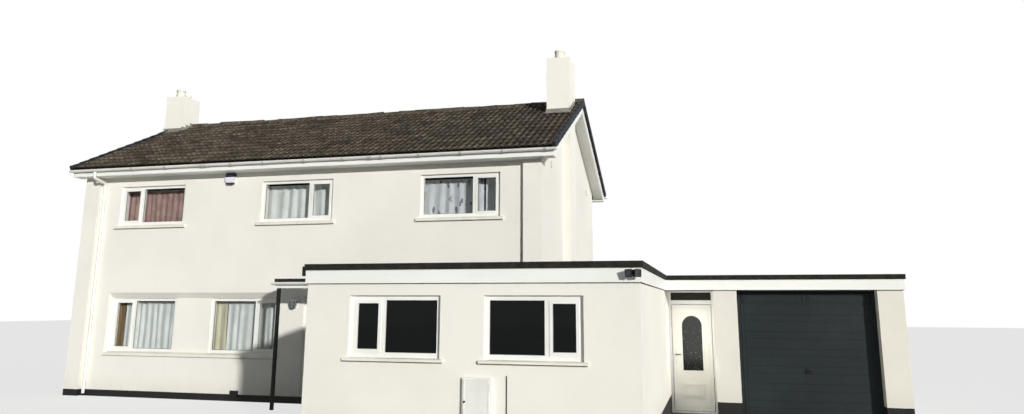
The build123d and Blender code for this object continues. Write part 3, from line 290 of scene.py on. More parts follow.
class Finish:
    """A material, or the world, and its nodes."""

    def __init__(self, name, owners=bpy.data.materials, end="ShaderNodeOutputMaterial"):
        self.material = owners.new(name)
        self.material.use_nodes = True
        self.tree = self.material.node_tree
        self.tree.nodes.clear()
        self.end = self.tree.nodes.new(end)
        self.object_place = None

    def node(self, kind, settings=None, sockets=None, out=0):
        made = self.tree.nodes.new(kind)
        for name, value in (settings or {}).items():
            setattr(made, name, value)
        for key, value in (sockets or {}).items():
            socket = made.inputs[key]
            if isinstance(value, Wire):
                self.tree.links.new(value.socket, socket)
            else:
                socket.default_value = value
        return Wire(self, made.outputs[out])

    def place(self):
        if self.object_place is None:
            self.object_place = self.node("ShaderNodeTexCoord", out="Object")
        return self.object_place

    def axes(self):
        split = self.node("ShaderNodeSeparateXYZ", sockets={0: self.place()})
        outputs = split.socket.node.outputs
        return [Wire(self, outputs[i]) for i in range(3)]

    def stretched(self, x, y, z, place=None):
        """The place, with each axis drawn together by its factor."""
        return self.node("ShaderNodeVectorMath", {"operation": "MULTIPLY"},
                         {0: place or self.place(), 1: (x, y, z)})

    def noise(self, scale, detail=4.0, roughness=0.6, place=None):
        return self.node("ShaderNodeTexNoise", sockets={
            "Vector": place or self.place(), "Scale": scale, "Detail": detail,
            "Roughness": roughness})

    def cells(self, scale, place):
        return self.node("ShaderNodeTexVoronoi", {"feature": "F1"},
                         {"Vector": place, "Scale": scale}, "Distance")

    def between(self, value, low, high):
        """0 where the value is under low, 1 where it is over high, with a smooth step."""
        return self.node("ShaderNodeMapRange", {"interpolation_type": "SMOOTHSTEP"},
                         {"Value": value, "From Min": low, "From Max": high})

    def mix(self, share, first, second):
        """A mix of two colours, each a wire or a screen's red, green and blue."""
        first, second = [c if isinstance(c, Wire) else srgb(*c) for c in (first, second)]
        return self.node("ShaderNodeMix", {"data_type": "RGBA", "blend_type": "MIX"},
                         {0: share, 6: first, 7: second}, 2)

    def bump(self, height, distance, strength=1.0):
        return self.node("ShaderNodeBump", sockets={
            "Height": height, "Distance": distance, "Strength": strength})

    def looked_at(self):
        """1 where the camera looks, straight, by reflection or through glass."""
        rays = self.node("ShaderNodeLightPath").socket.node.outputs
        straight, glossy, glass = [
            Wire(self, rays["Is %s Ray" % kind]) for kind in ("Camera", "Glossy", "Transmission")]
        return (straight + glossy + glass).clamp()

    def blend(self, share, first, second):
        """Ends the nodes in a mix of two shaders."""
        both = self.node("ShaderNodeMixShader", sockets={0: share, 1: first, 2: second})
        self.tree.links.new(both.socket, self.end.inputs["Surface"])

    def surface(self, colour, roughness, **sockets):
        """Ends the material in one principled shader."""
        values = {"Base Color": colour, "Roughness": roughness}
        values.update({name.replace("_", " "): value for name, value in sockets.items()})
        shader = self.node("ShaderNodeBsdfPrincipled", sockets=values)
        self.tree.links.new(shader.socket, self.end.inputs["Surface"])
        return self.material


def wall_paint(name, tone, plinth, streaks=0.4, painted_shade_zone=None):
    """Smooth painted render, weathered a little, with a black painted plinth at its foot.

    The last argument, when given, is (front, top, colour): painted shade, in which what lies before
    that y and under that z takes the colour."""
    f = Finish(name)
    y, z = f.axes()[1:]
    clouds = f.noise(0.55, 5.0)
    runs = f.noise(1.0, 6.0, 0.65, f.stretched(5.0, 5.0, 0.28))
    colour = f.mix(f.between(clouds, 0.35, 0.72), tone, [c - 6 for c in tone])
    colour = f.mix(f.between(runs, 0.58, 0.88) * (0.14 * streaks), colour, (176, 168, 150))
    splash = f.between(z + f.noise(7.0) * 0.25, plinth + 0.55, plinth + 0.02)
    colour = f.mix(splash * 0.16, colour, (150, 142, 122))
    # painted shade: what lies before a y and under a z takes the given colour
    if painted_shade_zone:
        front, top, shade = painted_shade_zone
        colour = f.mix((y < front) * (z < top), colour, shade)
    black = f.mix(f.noise(9.0), (20, 21, 21), (38, 38, 36))
    edge = z + (f.noise(14.0) - 0.5) * 0.010
    colour = f.mix(edge < plinth, colour, black)
    grain = f.noise(220.0, 3.0) * 0.5 + f.noise(9.0, 3.0) * 1.2
    return f.surface(colour, 0.82 - (edge < plinth) * 0.15, Normal=f.bump(grain, 0.0022, 0.7),
                     Specular_IOR_Level=0.2)


def tile_concrete():
    """Weathered brown concrete tiles, each a little different, with lichen; painted shade in the
    valleys and under each course's tail, and a painted highlight along the crests at each tail.
    """
    f = Finish("weathered roof tile")
    tone, crest, tail = [f.node("ShaderNodeAttribute", {"attribute_name": name}, out="Fac")
                         for name in ("tone", "crest", "tail")]
    fine = f.noise(38.0, 6.0, 0.7)
    broad = f.noise(1.1, 4.0)
    patches = f.noise(6.5, 5.0, 0.7)
    colour = f.mix(tone, (64, 56, 48), (118, 107, 92))
    colour = f.mix(f.between(broad, 0.42, 0.66) * 0.40, colour, (112, 102, 88))
    colour = f.mix(f.between(patches, 0.46, 0.62) * 0.65, colour, (40, 35, 30))
    colour = f.mix(f.between(fine, 0.42, 0.64) * 0.55, colour, (36, 31, 27))
    spots = f.between(f.noise(62.0, 2.0), 0.62, 0.70)
    colour = f.mix(spots * 0.50, colour, (146, 138, 118))
    rust = f.between(f.noise(11.0, 4.0, 0.7, f.stretched(1.0, 1.3, 1.3)), 0.60, 0.74)
    colour = f.mix(rust * 0.45, colour, (112, 84, 58))
    # painted shade in the valleys between the rolls, away from the crests
    colour = f.mix((1.0 - f.between(crest, 0.02, 0.45)) * 0.62, colour, (24, 21, 19))
    # painted shadow over the top of each tile, just under the next course's tail
    colour = f.mix(f.between(tail, 0.50, 0.16) * 0.55, colour, (22, 19, 17))
    # painted highlight along the crests at each tail, weaker over the dark patches
    lit_tail_highlight = f.between(tail, 0.84, 0.975) * f.between(crest, 0.0, 0.5)
    lit_tail_highlight = lit_tail_highlight * f.between(patches, 0.60, 0.40)
    colour = f.mix(lit_tail_highlight * (tone * 0.6 + 0.15), colour, (146, 139, 126))
    grain = f.noise(160.0, 4.0) + fine
    return f.surface(colour, 0.93, Normal=f.bump(grain, 0.003, 1.0), **MATT)


def plain_finish(name, low, high, rough, scale=12.0, bump=0.0006, grime=None, stretch=(1, 1, 1),
                 **sockets):
    """One colour that drifts between two tones, with a fine grain and some grime."""
    f = Finish(name)
    where = f.stretched(*stretch)
    drift = f.noise(scale * 0.35, 5.0, 0.6, where)
    fine = f.noise(scale * 9.0, 3.0, 0.6, where)
    colour = f.mix(f.between(drift, 0.35, 0.68), low, high)
    if grime:
        share = f.between(f.noise(scale * 0.8, 6.0, 0.7, where), 0.55, 0.82) * grime[1]
        colour = f.mix(share, colour, grime[0])
    return f.surface(colour, f.between(drift, 0.0, 1.0) * 0.10 + (rough - 0.05),
                     Normal=f.bump(fine, bump, 0.8), **sockets)


def window_pane(name, tint, alpha, rough=0.03, wing_painted_dark_alpha=None):
    """Clear glass with a faint film; the wing's panes go near opaque in the dark tint, painted
    shade for the unlit room behind them.
    """
    f = Finish(name)
    film = f.noise(2.2, 3.0)
    colour = f.mix(film, tint, [c + 8 for c in tint])
    cover = film * 0.08 + (alpha - 0.04)
    # painted shade: before WING_BEFORE the panes are near opaque, standing for the dark room
    if wing_painted_dark_alpha:
        cover = cover + (f.axes()[1] < WING_BEFORE) * (wing_painted_dark_alpha - alpha)
    return f.surface(colour, film * 0.04 + rough, Alpha=cover, **MATT)


def leaded_pane(name):
    """Obscured dark glass behind a slim pattern of crossing lead, with small painted glints in it.
    """
    across, up, lead_share = 7.3, 3.1, 0.045
    f = Finish(name)
    x, _, z = f.axes()
    rise = (x * across + z * up) % 1.0
    fall = (x * across - z * up) % 1.0
    lead = ((rise < lead_share) + (fall < lead_share)).clamp()
    ripple = f.noise(46.0, 3.0)
    # painted highlights: small bright glints scattered over the glass
    painted_glints = f.between(f.noise(34.0, 2.0), 0.66, 0.72)
    colour = f.mix(ripple, (8, 9, 8), (22, 24, 21))
    colour = f.mix(lead * 0.5, colour, (64, 66, 62))
    colour = f.mix(painted_glints * 0.6, colour, (150, 156, 152))
    return f.surface(colour, 0.2, Normal=f.bump(ripple, 0.002, 0.8), Specular_IOR_Level=0.2)


def curtain_cloth(name, pale, deep, print_tone=None):
    """Woven cotton with a fine weave, and with a loose motif where print_tone is given."""
    f = Finish(name)
    spread = f.stretched(3.0, 1.0, 1.0, f.node("ShaderNodeTexCoord", out="UV"))
    drift = f.noise(3.0, 4.0, 0.6, spread)
    colour = f.mix(f.between(drift, 0.35, 0.68), pale, deep)
    if print_tone:
        bunch = f.cells(3.4, spread)
        petals = f.noise(13.0, 3.0, 0.6, spread)
        sparse = f.between(f.noise(1.9, 2.0, 0.5, spread), 0.44, 0.50)
        shape = f.between(bunch + petals * 0.7, 0.62, 0.54)
        colour = f.mix(shape * sparse * 0.75, colour, print_tone)
    weave = f.noise(420.0, 2.0, 0.5) + f.noise(60.0, 2.0, 0.5, f.stretched(1.0, 1.0, 0.1))
    return f.surface(colour, 0.92, Normal=f.bump(weave, 0.0008, 0.7), Sheen_Weight=0.15,
                     Specular_IOR_Level=0.15)


def alarm_shell(name):
    """A white shield with a dark blue upper part and a dark blue tip."""
    upper_part, tip_part = 4.972, 4.846
    f = Finish(name)
    z = f.axes()[2]
    drift = f.noise(9.0, 3.0)
    colour = f.mix(drift, (236, 236, 240), (214, 214, 222))
    navy = f.mix(drift, (24, 27, 58), (34, 38, 74))
    colour = f.mix(((z > upper_part) + (z < tip_part)).clamp(), colour, navy)
    return f.surface(colour, drift * 0.1 + 0.35, Normal=f.bump(f.noise(60.0), 0.0005, 0.6))


def lever_set(name):
    """A white back plate close to the leaf, with a dark lever in front of it."""
    f = Finish(name)
    drift = f.noise(18.0, 3.0)
    white = f.mix(drift, (240, 239, 230), (228, 227, 218))
    dark = f.mix(drift, (34, 35, 36), (58, 59, 60))
    proud = f.axes()[1] < LEVER_PLANE
    return f.surface(f.mix(proud, white, dark), drift * 0.15 + 0.32,
                     Normal=f.bump(f.noise(80.0), 0.0004, 0.6))


paint_house = wall_paint("house wall paint", (240, 237, 229), HOUSE_PLINTH, 0.5)
paint_wing = wall_paint("wing wall paint", (239, 236, 227), YARD_PLINTH)
# the piers take the wing's render a shade darker: painted shade
left_pier_painted_shade = wall_paint("left pier paint", (218, 215, 206), YARD_PLINTH)
right_pier_painted_shade = wall_paint("right pier paint", (228, 224, 213), YARD_PLINTH)
# the right breast's front face is laid darker than the stack: painted shade against the light
# bounced into its corner with the gable
paint_stack = wall_paint("chimney paint", (246, 243, 233), HOUSE_PLINTH, 0.5,
                         (BREAST_FRONT + 0.004, BREAST_TOP, (222, 219, 210)))
roof_tile_finish = tile_concrete()
ridge_finish = plain_finish("ridge tile", (66, 62, 54), (104, 97, 84), 0.93, 14.0, 0.003,
                            ((196, 182, 146), 0.9), **MATT)
verge_finish = plain_finish("verge cap plastic", (36, 40, 46), (50, 54, 60), 0.7, 6.0, 0.0006,
                            ((74, 74, 68), 0.4), **MATT)
white_board = plain_finish("white fascia board", (242, 243, 238), (234, 235, 229), 0.42, 4.0,
                           0.0004, ((196, 192, 178), 0.2), (0.3, 0.3, 1))
white_frame = plain_finish("white window plastic", (240, 240, 236), (232, 232, 227), 0.35, 4.0,
                           0.0003, ((200, 198, 188), 0.15))
white_pipe = plain_finish("white gutter plastic", (236, 236, 231), (222, 222, 215), 0.38, 5.0,
                          0.0004, ((150, 148, 138), 0.35))
# the clips are a little darker than the gutter: painted shade for the small shadows at their edges,
# with real grime
clip_painted_shade_finish = plain_finish("gutter clip plastic", (206, 205, 198), (188, 187, 180), 0.45, 8.0,
                           0.0004, ((110, 108, 100), 0.6))
sill_paint = plain_finish("sill paint", (236, 233, 222), (224, 220, 208), 0.7, 6.0, 0.001,
                          ((160, 152, 134), 0.4))
felt_finish = plain_finish("mineral felt", (34, 34, 31), (50, 48, 43), 0.95, 30.0, 0.002,
                           ((84, 84, 76), 0.4), **MATT)
clay_finish = plain_finish("chimney pot clay", (236, 233, 222), (222, 217, 202), 0.85, 8.0, 0.0015,
                           ((120, 112, 98), 0.45))
black_finish = plain_finish("black painted metal", (16, 16, 17), (26, 26, 27), 0.5, 20.0, 0.0005,
                            ((44, 43, 40), 0.3), Specular_IOR_Level=0.2)
grey_door = plain_finish("dark grey garage paint", (30, 36, 38), (37, 43, 45), 0.5, 3.0, 0.0004,
                         ((54, 56, 54), 0.25), Specular_IOR_Level=0.15)
door_white = plain_finish("white door plastic", (242, 241, 232), (234, 233, 224), 0.35, 4.0, 0.0003,
                          ((210, 206, 192), 0.15))
floor_wood = plain_finish("floor boards", (150, 128, 100), (120, 100, 78), 0.6, 8.0, 0.001,
                          None, (0.2, 4, 1))
concrete_floor = plain_finish("concrete slab", (128, 126, 120), (112, 110, 104), 0.85, 6.0, 0.002,
                              ((90, 88, 82), 0.4))
pane_front = window_pane("front window glass", (8, 11, 12), 0.10, wing_painted_dark_alpha=1.02)
pane_fanlight = window_pane("fanlight glass", (46, 44, 38), 0.86, 0.08)
pane_door = leaded_pane("leaded door glass")
seal_finish = plain_finish("black rubber seal", (16, 17, 18), (28, 29, 30), 0.7, 16.0, 0.0003)
mortar_finish = plain_finish("bedding mortar", (212, 206, 190), (186, 178, 160), 0.95, 14.0, 0.003,
                             ((120, 114, 100), 0.5))
lead_finish = plain_finish("weathered lead", (150, 148, 140), (118, 116, 108), 0.8, 7.0, 0.001,
                           ((190, 184, 168), 0.6), Specular_IOR_Level=0.2)
lantern_pane = plain_finish("lantern pane", (92, 100, 104), (112, 118, 120), 0.2, 24.0, 0.0004)
lens_finish = plain_finish("floodlight lens", (44, 46, 48), (66, 68, 70), 0.2, 22.0, 0.0008)
mauve_cloth = curtain_cloth("mauve curtain cotton", (176, 150, 142), (150, 124, 120))
white_cloth = curtain_cloth("white curtain cotton", (230, 236, 234), (218, 226, 224))
cream_cloth = curtain_cloth("cream curtain cotton", (222, 220, 196), (206, 204, 180))
brown_cloth = curtain_cloth("brown curtain cotton", (150, 128, 92), (120, 100, 70))
printed_cloth = curtain_cloth("printed curtain cotton", (218, 224, 228), (206, 212, 218),
                              (58, 54, 60))
alarm_finish = alarm_shell("alarm shell")
lever_finish = lever_set("lever handle and plate")

WEAR = (
    (roof_tile_finish, "roof_front roof_back"),
    (ridge_finish, "ridge_tiles"),
    (paint_house, "front_wall back_wall left_gable_wall right_gable_wall"),
    (paint_stack, "left_chimney right_chimney"),
    (paint_wing, "wing_front_wall wing_left_wall wing_right_wall garage_back_wall"),
    (left_pier_painted_shade, "garage_left_wall"),
    (right_pier_painted_shade, "garage_right_wall"),
    (white_board, "eaves_boards verge_boards roof_fascia porch_fascia porch_deck"),
    (white_frame, "house_windows back_windows wing_windows front_door_frame side_door_frame"),
    (door_white, "front_door side_door"),
    (white_pipe, "roof_gutters porch_gutter downpipes meter_box"),
    (alarm_finish, "alarm_box"),
    (lever_finish, "side_door_handle"),
    (sill_paint, "sills band_sill"),
    (felt_finish, "roof_felt porch_felt"),
    (clay_finish, "chimney_pots"),
    (black_finish, "porch_post wall_lantern floodlight garage_handle"),
    (grey_door, "garage_door garage_frame"),
    (pane_front, "front_glass back_glass"),
    (pane_fanlight, "fanlight_glass"),
    (pane_door, "side_door_glass"),
    (floor_wood, "upper_floor"),
    (concrete_floor, "ground_floor flat_roof_deck"),
)
for finish, members in WEAR:
    for member in members.split():
        nodes[member].data.materials.clear()
        nodes[member].data.materials.append(finish)


def dress(piece, finish, body="house", instead=()):
    """Gives a finished piece its material, its body and the solids that it stands in for."""
    piece.data.materials.clear()
    piece.data.materials.append(finish)
    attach(piece, body)
    if instead:
        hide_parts(*instead)
    return piece


# the camera as solved from the photo: pixels, metres and degrees
PHOTO_WIDTH, PHOTO_HEIGHT = 1024, 414
FOCAL_LENGTH, CENTRE_ROW = 770.10, 150.135
CAMERA_PLACE = (5.948, -16.201, 2.055)
YAW, TILT, ROLL = math.radians(-14.690), math.radians(11.481), math.radians(0.225)
SENSOR = 36.0

camera_data = bpy.data.cameras.new("front view")
camera = bpy.data.objects.new("front view", camera_data)
show(camera)
ahead = Vector((-math.sin(-YAW) * math.cos(TILT), math.cos(YAW) * math.cos(TILT), math.sin(TILT)))
level = ahead.cross(Vector((0, 0, 1))).normalized()
above = level.cross(ahead)
right = level * math.cos(ROLL) + above * math.sin(ROLL)
above = above * math.cos(ROLL) - level * math.sin(ROLL)
camera.matrix_world = Matrix.Translation(CAMERA_PLACE) @ Matrix(
    (right, above, -ahead)).transposed().to_4x4()
camera_data.sensor_width = SENSOR
camera_data.lens = FOCAL_LENGTH * SENSOR / PHOTO_WIDTH
camera_data.shift_y = -(PHOTO_HEIGHT / 2 - CENTRE_ROW) / PHOTO_WIDTH
bpy.context.scene.camera = camera
bpy.context.scene.view_settings.view_transform = "Standard"


def studio_lamp(name, kind, energy, turn, **settings):
    """A lamp of the studio, with the settings of its kind."""
    data = bpy.data.lights.new(name, kind)
    data.energy = energy
    for setting, value in settings.items():
        setattr(data, setting, value)
    made = bpy.data.objects.new(name, data)
    made.rotation_euler = turn
    show(made)
    return made


# a low key from the front right, a wide soft one on the right gable, and one in the door's bay
KEY_FROM, SIDE_FROM = Vector((0.630, -0.748, 0.211)), Vector((0.95, -0.12, 0.28))
studio_lamp("key", "SUN", 3.32, KEY_FROM.to_track_quat("Z", "Y").to_euler(),
            angle=math.radians(1.6), color=(1.0, 0.985, 0.955))
studio_lamp("side", "SUN", 0.75, SIDE_FROM.to_track_quat("Z", "Y").to_euler(),
            angle=math.radians(50.0))
entry = studio_lamp("entry", "AREA", 6.2, (math.radians(78.0), 0, 0), shape="RECTANGLE",
                    size=0.7, size_y=1.2, spread=math.radians(150.0))
entry.location = at(14340, -560, 1560)
entry.visible_camera = False

# the studio: a bluish fill on the house, and plain white wherever the camera looks past it
FILL, FILL_COLOUR, WHITE = 0.165, (0.80, 0.91, 1.0, 1.0), (1, 1, 1, 1)
sky = Finish("studio", bpy.data.worlds, "ShaderNodeOutputWorld")
bpy.context.scene.world = sky.material
sky.blend(sky.looked_at(),
          sky.node("ShaderNodeBackground", sockets={"Color": FILL_COLOUR, "Strength": FILL}),
          sky.node("ShaderNodeBackground", sockets={"Color": WHITE, "Strength": 1.0}))

let_go()
bpy.ops.mesh.primitive_plane_add(size=160, location=(0, 0, -0.002))
floor = bpy.context.object
floor.name = "studio_floor"
ground = Finish("pale studio floor")
ground.blend(ground.looked_at() * 0.72,
             ground.node("ShaderNodeBsdfDiffuse", sockets={"Color": srgb(194, 192, 188)}),
             ground.node("ShaderNodeEmission", sockets={"Color": WHITE, "Strength": 1.0}))
floor.data.materials.append(ground.material)
floor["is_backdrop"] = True

# one tile: its lift over the boards, length, thickness, roll height and the rise of its tail
TILE_LIFT = 0.010
TILE_LENGTH = GAUGE + 0.030
TILE_THICKNESS, CREST_HEIGHT, TAIL_RISE = 0.020, 0.034, 0.022


def quad(name, corners):
    """One face from four points in metres: two at its start and two at its end."""
    let_go()
    bpy.ops.mesh.primitive_plane_add(size=1)
    piece = bpy.context.object
    piece.name = name
    for vertex, corner in zip(piece.data.vertices, corners):
        vertex.co = corner
    return piece


def edge_strip(name, start, along, steps):
    """A strip that starts as one narrow face and has its far edge drawn out step by step."""
    edge = start + steps[0]
    piece = quad(name, [start, edge, start + along, edge + along])
    pick(piece, lambda e: all((v.co - edge).cross(along).length < 1e-6 for v in e.verts), "EDGE")
    for step in steps[1:]:
        push(*step)
    let_go()
    return piece


# the steps across one roll: on, as a share of half the cover, and up
ROLL_STEPS = [(0.40, 0.0), (0.12, 0.001), (0.08, 0.016), (0.11, 0.017), (0.10, 0.000),
              (0.11, -0.017), (0.08, -0.017)]
profile = [Vector((share * COVER / 2, 0, rise)) for _ in range(2) for share, rise in ROLL_STEPS]
one_tile = edge_strip("tile", Vector((-COVER / 2, 0, 0)), Vector((0, TILE_LENGTH, 0)), profile)
thicken(one_tile, TILE_THICKNESS)
corners = [vertex.co for vertex in one_tile.data.vertices]
for layer, values in (
        ("crest", [max(0.0, min(1.0, corner.z / CREST_HEIGHT)) for corner in corners]),
        ("tail", [1.0 - corner.y / TILE_LENGTH for corner in corners])):
    one_tile.data.attributes.new(layer, "FLOAT", "POINT").data.foreach_set("value", values)
one_tile.data.transform(Matrix.Rotation(-math.atan(TAIL_RISE / GAUGE), 4, "X"))


def on_slope(x, back):
    """What lays a thing that was made flat, from the eaves upwards, on one of the slopes."""
    turn = Matrix.Rotation(math.pi, 4, "Z") if back else Matrix.Identity(4)
    eaves = at(x, 2 * RIDGE_Y - EAVES_Y if back else EAVES_Y,
               RIDGE_TILE_Z - (RIDGE_Y - EAVES_Y) * PITCH_RISE)
    return Matrix.Translation(eaves) @ turn @ Matrix.Rotation(PITCH, 4, "X")


def tile_field(name, back):
    """Thirteen courses of tiles over the boarded slope, laid on the flat and then pitched."""
    parts = []
    for course in range(COURSES):
        for column in range(TILES_ACROSS):
            wobble = Matrix.Rotation(chance.gauss(0, 0.0016), 4, "Z") @ Matrix.Rotation(
                chance.gauss(0, 0.003), 4, "Y")
            middle = (SLAB_LEFT + (column + 0.5) * COVER * 1000.0 - SLAB_MIDDLE) / 1000.0
            place = Matrix.Translation((middle + chance.gauss(0, 0.0008),
                                        course * GAUGE + chance.gauss(0, 0.0018),
                                        TILE_LIFT + chance.gauss(0, 0.0012)))
            tile = again(one_tile, place @ wobble)
            mark(tile, "tone", min(1.0, max(0.0, chance.gauss(0.45, 0.24))))
            parts.append(tile)
    let_go()
    bpy.ops.mesh.primitive_cube_add(
        size=1, location=(0, SLOPE_LENGTH / 2, -0.092),
        scale=(COVER * TILES_ACROSS - 0.002, SLOPE_LENGTH - 0.030, 0.115))
    deck = settle(bpy.context.object)
    mark(deck, "tone", 0.1)
    field = join(name, [deck] + parts)
    field.data.transform(on_slope(SLAB_MIDDLE, back))
    return field


for side, back in (("front", False), ("back", True)):
    dress(tile_field("tiles_" + side, back), roof_tile_finish,
          instead=["roof_" + side])
drop(one_tile)


def open_tube(radius, length, gap):
    """A tube along x, without the faces whose height passes the gap's test."""
    let_go()
    bpy.ops.mesh.primitive_cylinder_add(vertices=28, radius=radius, depth=length,
                                        end_fill_type="NOTHING", rotation=(0, math.pi / 2, 0))
    piece = settle(bpy.context.object)
    pick(piece, lambda face: gap(face.calc_center_median().z))
    bpy.ops.mesh.delete(type="FACE")
    let_go()
    return piece


# ridge caps, bedded end to end, the last one over the edge of the verge
RIDGE_LEFT, RIDGE_RIGHT, RIDGE_RADIUS = 300.0, 11765.0, 0.120
RIDGE_CAPS, CAP_HEIGHT, LAST_CAP_LIFT = 25, 7.104, 0.045
cap_length = (RIDGE_RIGHT - RIDGE_LEFT) / RIDGE_CAPS / 1000.0
ridge_cap = thicken(open_tube(RIDGE_RADIUS, cap_length - 0.008, lambda z: z < -0.004), 0.016)
caps = []
for number in range(RIDGE_CAPS):
    middle = at(RIDGE_LEFT + (number + 0.5) * cap_length * 1000.0, RIDGE_Y, 0)
    lift = LAST_CAP_LIFT if number == RIDGE_CAPS - 1 else 0.0
    middle.z = CAP_HEIGHT + chance.gauss(0, 0.008) + lift
    caps.append(again(ridge_cap, Matrix.Translation(middle) @ Matrix.Rotation(
        chance.gauss(0, 0.010), 4, "Z") @ Matrix.Rotation(chance.gauss(0, 0.020), 4, "Y")))
    mark(caps[-1], "tone", chance.random())
drop(ridge_cap)
dress(soften(join("ridge_caps", caps)), ridge_finish, instead=["ridge_tiles"])

# stepped caps up both verges
VERGES = (("left", -164.0), ("right", 11734.0))
let_go()
bpy.ops.mesh.primitive_cube_add(size=1, location=(0, TILE_LENGTH / 2, 0),
                                scale=(0.066, TILE_LENGTH, 0.137))
verge_cap = settle(bpy.context.object)
panel(verge_cap, 0.006, 0.006)
round_edges(verge_cap, 0.006)
verge_cap.data.transform(Matrix.Rotation(-math.atan(0.012 / GAUGE), 4, "X"))
for side, middle_x in VERGES:
    parts = []
    for back in (False, True):
        for course in range(COURSES):
            step = Matrix.Translation((0, course * GAUGE - 0.004, -0.012))
            parts.append(again(verge_cap, on_slope(middle_x, back) @ step))
    dress(soften(join("verge_caps_" + side, parts)), verge_finish)
drop(verge_cap)


def closed(piece):
    """Turns every face of the piece outwards."""
    pick(piece, lambda face: True)
    bpy.ops.mesh.normals_make_consistent(inside=False)
    let_go()
    return piece


def plate(name, outline):
    """A thin sheet of lead from the corners of its face, given in the house's millimetres."""
    mesh = bpy.data.meshes.new(name)
    mesh.from_pydata([at(*corner) for corner in outline], [], [tuple(range(len(outline)))])
    piece = bpy.data.objects.new(name, mesh)
    show(piece)
    return closed(thicken(piece, 0.004, 0.0))


def border(name, x, z, y, width, proud, inward=1):
    """A rectangular border of the given width, standing proud of the plane at y."""
    piece = quad(name, [at(across, y, up) for up in z for across in x])
    pick(piece, lambda face: True)
    bpy.ops.mesh.inset(thickness=width / 1000.0)
    bpy.ops.mesh.delete(type="FACE")
    bpy.ops.mesh.select_all(action="SELECT")
    push(0, -inward * proud / 1000.0, 0)
    return closed(piece)


def islands(node):
    """The separate solids of a node, each as its two corners in the house's millimetres."""
    mesh = nodes[node].data
    places = [nodes[node].matrix_world @ vertex.co for vertex in mesh.vertices]
    keys = [(round(p.x, 4), round(p.y, 4), round(p.z, 4)) for p in places]
    leader = {key: key for key in keys}

    def top(key):
        while leader[key] != key:
            leader[key] = leader[leader[key]]
            key = leader[key]
        return key

    for edge in mesh.edges:
        leader[top(keys[edge.vertices[0]])] = top(keys[edge.vertices[1]])
    groups = {}
    for key, p in zip(keys, places):
        groups.setdefault(top(key), []).append(
            (p.x * 1000 + MIDDLE_X, p.y * 1000 + MIDDLE_Y, p.z * 1000))
    boxes = [([min(c) for c in zip(*points)], [max(c) for c in zip(*points)])
             for points in groups.values()]
    return sorted(boxes)


# black seals around every pane
seals = []
for node, outward in (("front_glass", 1), ("back_glass", -1)):
    for low, high in islands(node):
        face = low[1] if outward > 0 else high[1]
        seals.append(border("seal", (low[0], high[0]), (low[2], high[2]), face, 7, 5, outward))
dress(join("window_seals", seals), seal_finish)

# a dark strip under every sill: its drip, and painted shadow under the sill's nose
sill_drip_shadows = []
for node in ("sills", "band_sill"):
    for low, high in islands(node):
        if low[1] < 1000:
            sill_drip_shadows.append(box("drip", (low[0] + 6, low[1] + 8, low[2] - 8),
                              (high[0] - 6, low[1] + 22, low[2] + 1)))
dress(round_edges(join("sill_drip_and_shadow_lines", sill_drip_shadows), 0.0015, 1), seal_finish)

# the windows that have curtains: left, right, foot and head of the opening
SASH_OPENINGS = {
    "upper_left": (967.5, 2762.5, 3930, 4855), "upper_middle": (4802.5, 6597.5, 3930, 4855),
    "upper_right": (8684.5, 10479.5, 3930, 4855), "lower_left": (964.5, 2699.5, 1005, 2215),
    "lower_right": (3632.5, 5367.5, 1005, 2215),
}

# the wall's inner face, the rails' line, and how far a rail goes past its window
INNER_WALL_Y, RAIL_Y, RAIL_PAST = 395.0, 455.0, 110.0


def curtain_rail(name, window, drop_from_head):
    """A pole on two wall brackets over the inside of a window, with a stop at each end."""
    left, right, _, head = SASH_OPENINGS[window]
    z = head - drop_from_head
    left, right = left - RAIL_PAST, right + RAIL_PAST
    parts = [rod("rail", at(left, RAIL_Y, z), at(right, RAIL_Y, z), 0.009, 14)]
    for x, way in ((left, 1), (right, -1)):
        wall = at(x + way * 30, INNER_WALL_Y, z)
        parts.append(rod("arm", wall, at(x + way * 30, RAIL_Y, z), 0.007, 14))
        parts.append(rod("rose", wall, at(x + way * 30, INNER_WALL_Y + 7, z), 0.024, 20))
        parts.append(rod("stop", at(x - way * 14, RAIL_Y, z), at(x + way * 2, RAIL_Y, z),
                         0.016, 18))
    return dress(soften(round_edges(join(name, parts), 0.0015)), white_pipe)


def curtain(name, window, share, drop_from_head, folds, deep, finish):
    """Cloth on a rail: the folds are pinched together at the heading and open towards the hem."""
    left, right, foot, head = SASH_OPENINGS[window]
    left, right = left - RAIL_PAST + 20, right + RAIL_PAST - 20
    x0, x1 = left + (right - left) * share[0], left + (right - left) * share[1]
    z1, z0, y = head - drop_from_head - 4, foot - 110, RAIL_Y
    let_go()
    bpy.ops.mesh.primitive_grid_add(x_subdivisions=folds * 12, y_subdivisions=16, size=1)
    piece = bpy.context.object
    piece.name = piece.data.name = name
    swell = [chance.uniform(0.55, 1.15) for _ in range(folds + 2)]
    shift = [chance.uniform(-0.16, 0.16) for _ in range(folds + 2)]
    for vertex in piece.data.vertices:
        across, up = vertex.co.x + 0.5, vertex.co.y + 0.5
        turn = across * folds
        number, part = int(turn), turn - int(turn)
        ease = part * part * (3 - 2 * part)
        size = swell[number] * (1 - ease) + swell[number + 1] * ease
        lag = shift[number] * (1 - ease) + shift[number + 1] * ease
        angle = 2 * math.pi * (turn + lag + 0.06 * math.sin(3.1 * up + number))
        open_out = 0.55 + 0.45 * (1 - up) ** 0.7
        out = deep * size * open_out * (math.sin(angle) + 0.22 * math.sin(2 * angle + 0.6))
        lean = deep * 0.25 * math.cos(angle) * open_out
        vertex.co = at(x0 + (x1 - x0) * across + lean, y + out, z0 + (z1 - z0) * up)
    shaped(piece, "SUBSURF", levels=1, render_levels=1)
    bpy.ops.object.shade_smooth()
    dress(piece, finish)
    round((z1 - z0) / 1000.0, 2)
    return piece


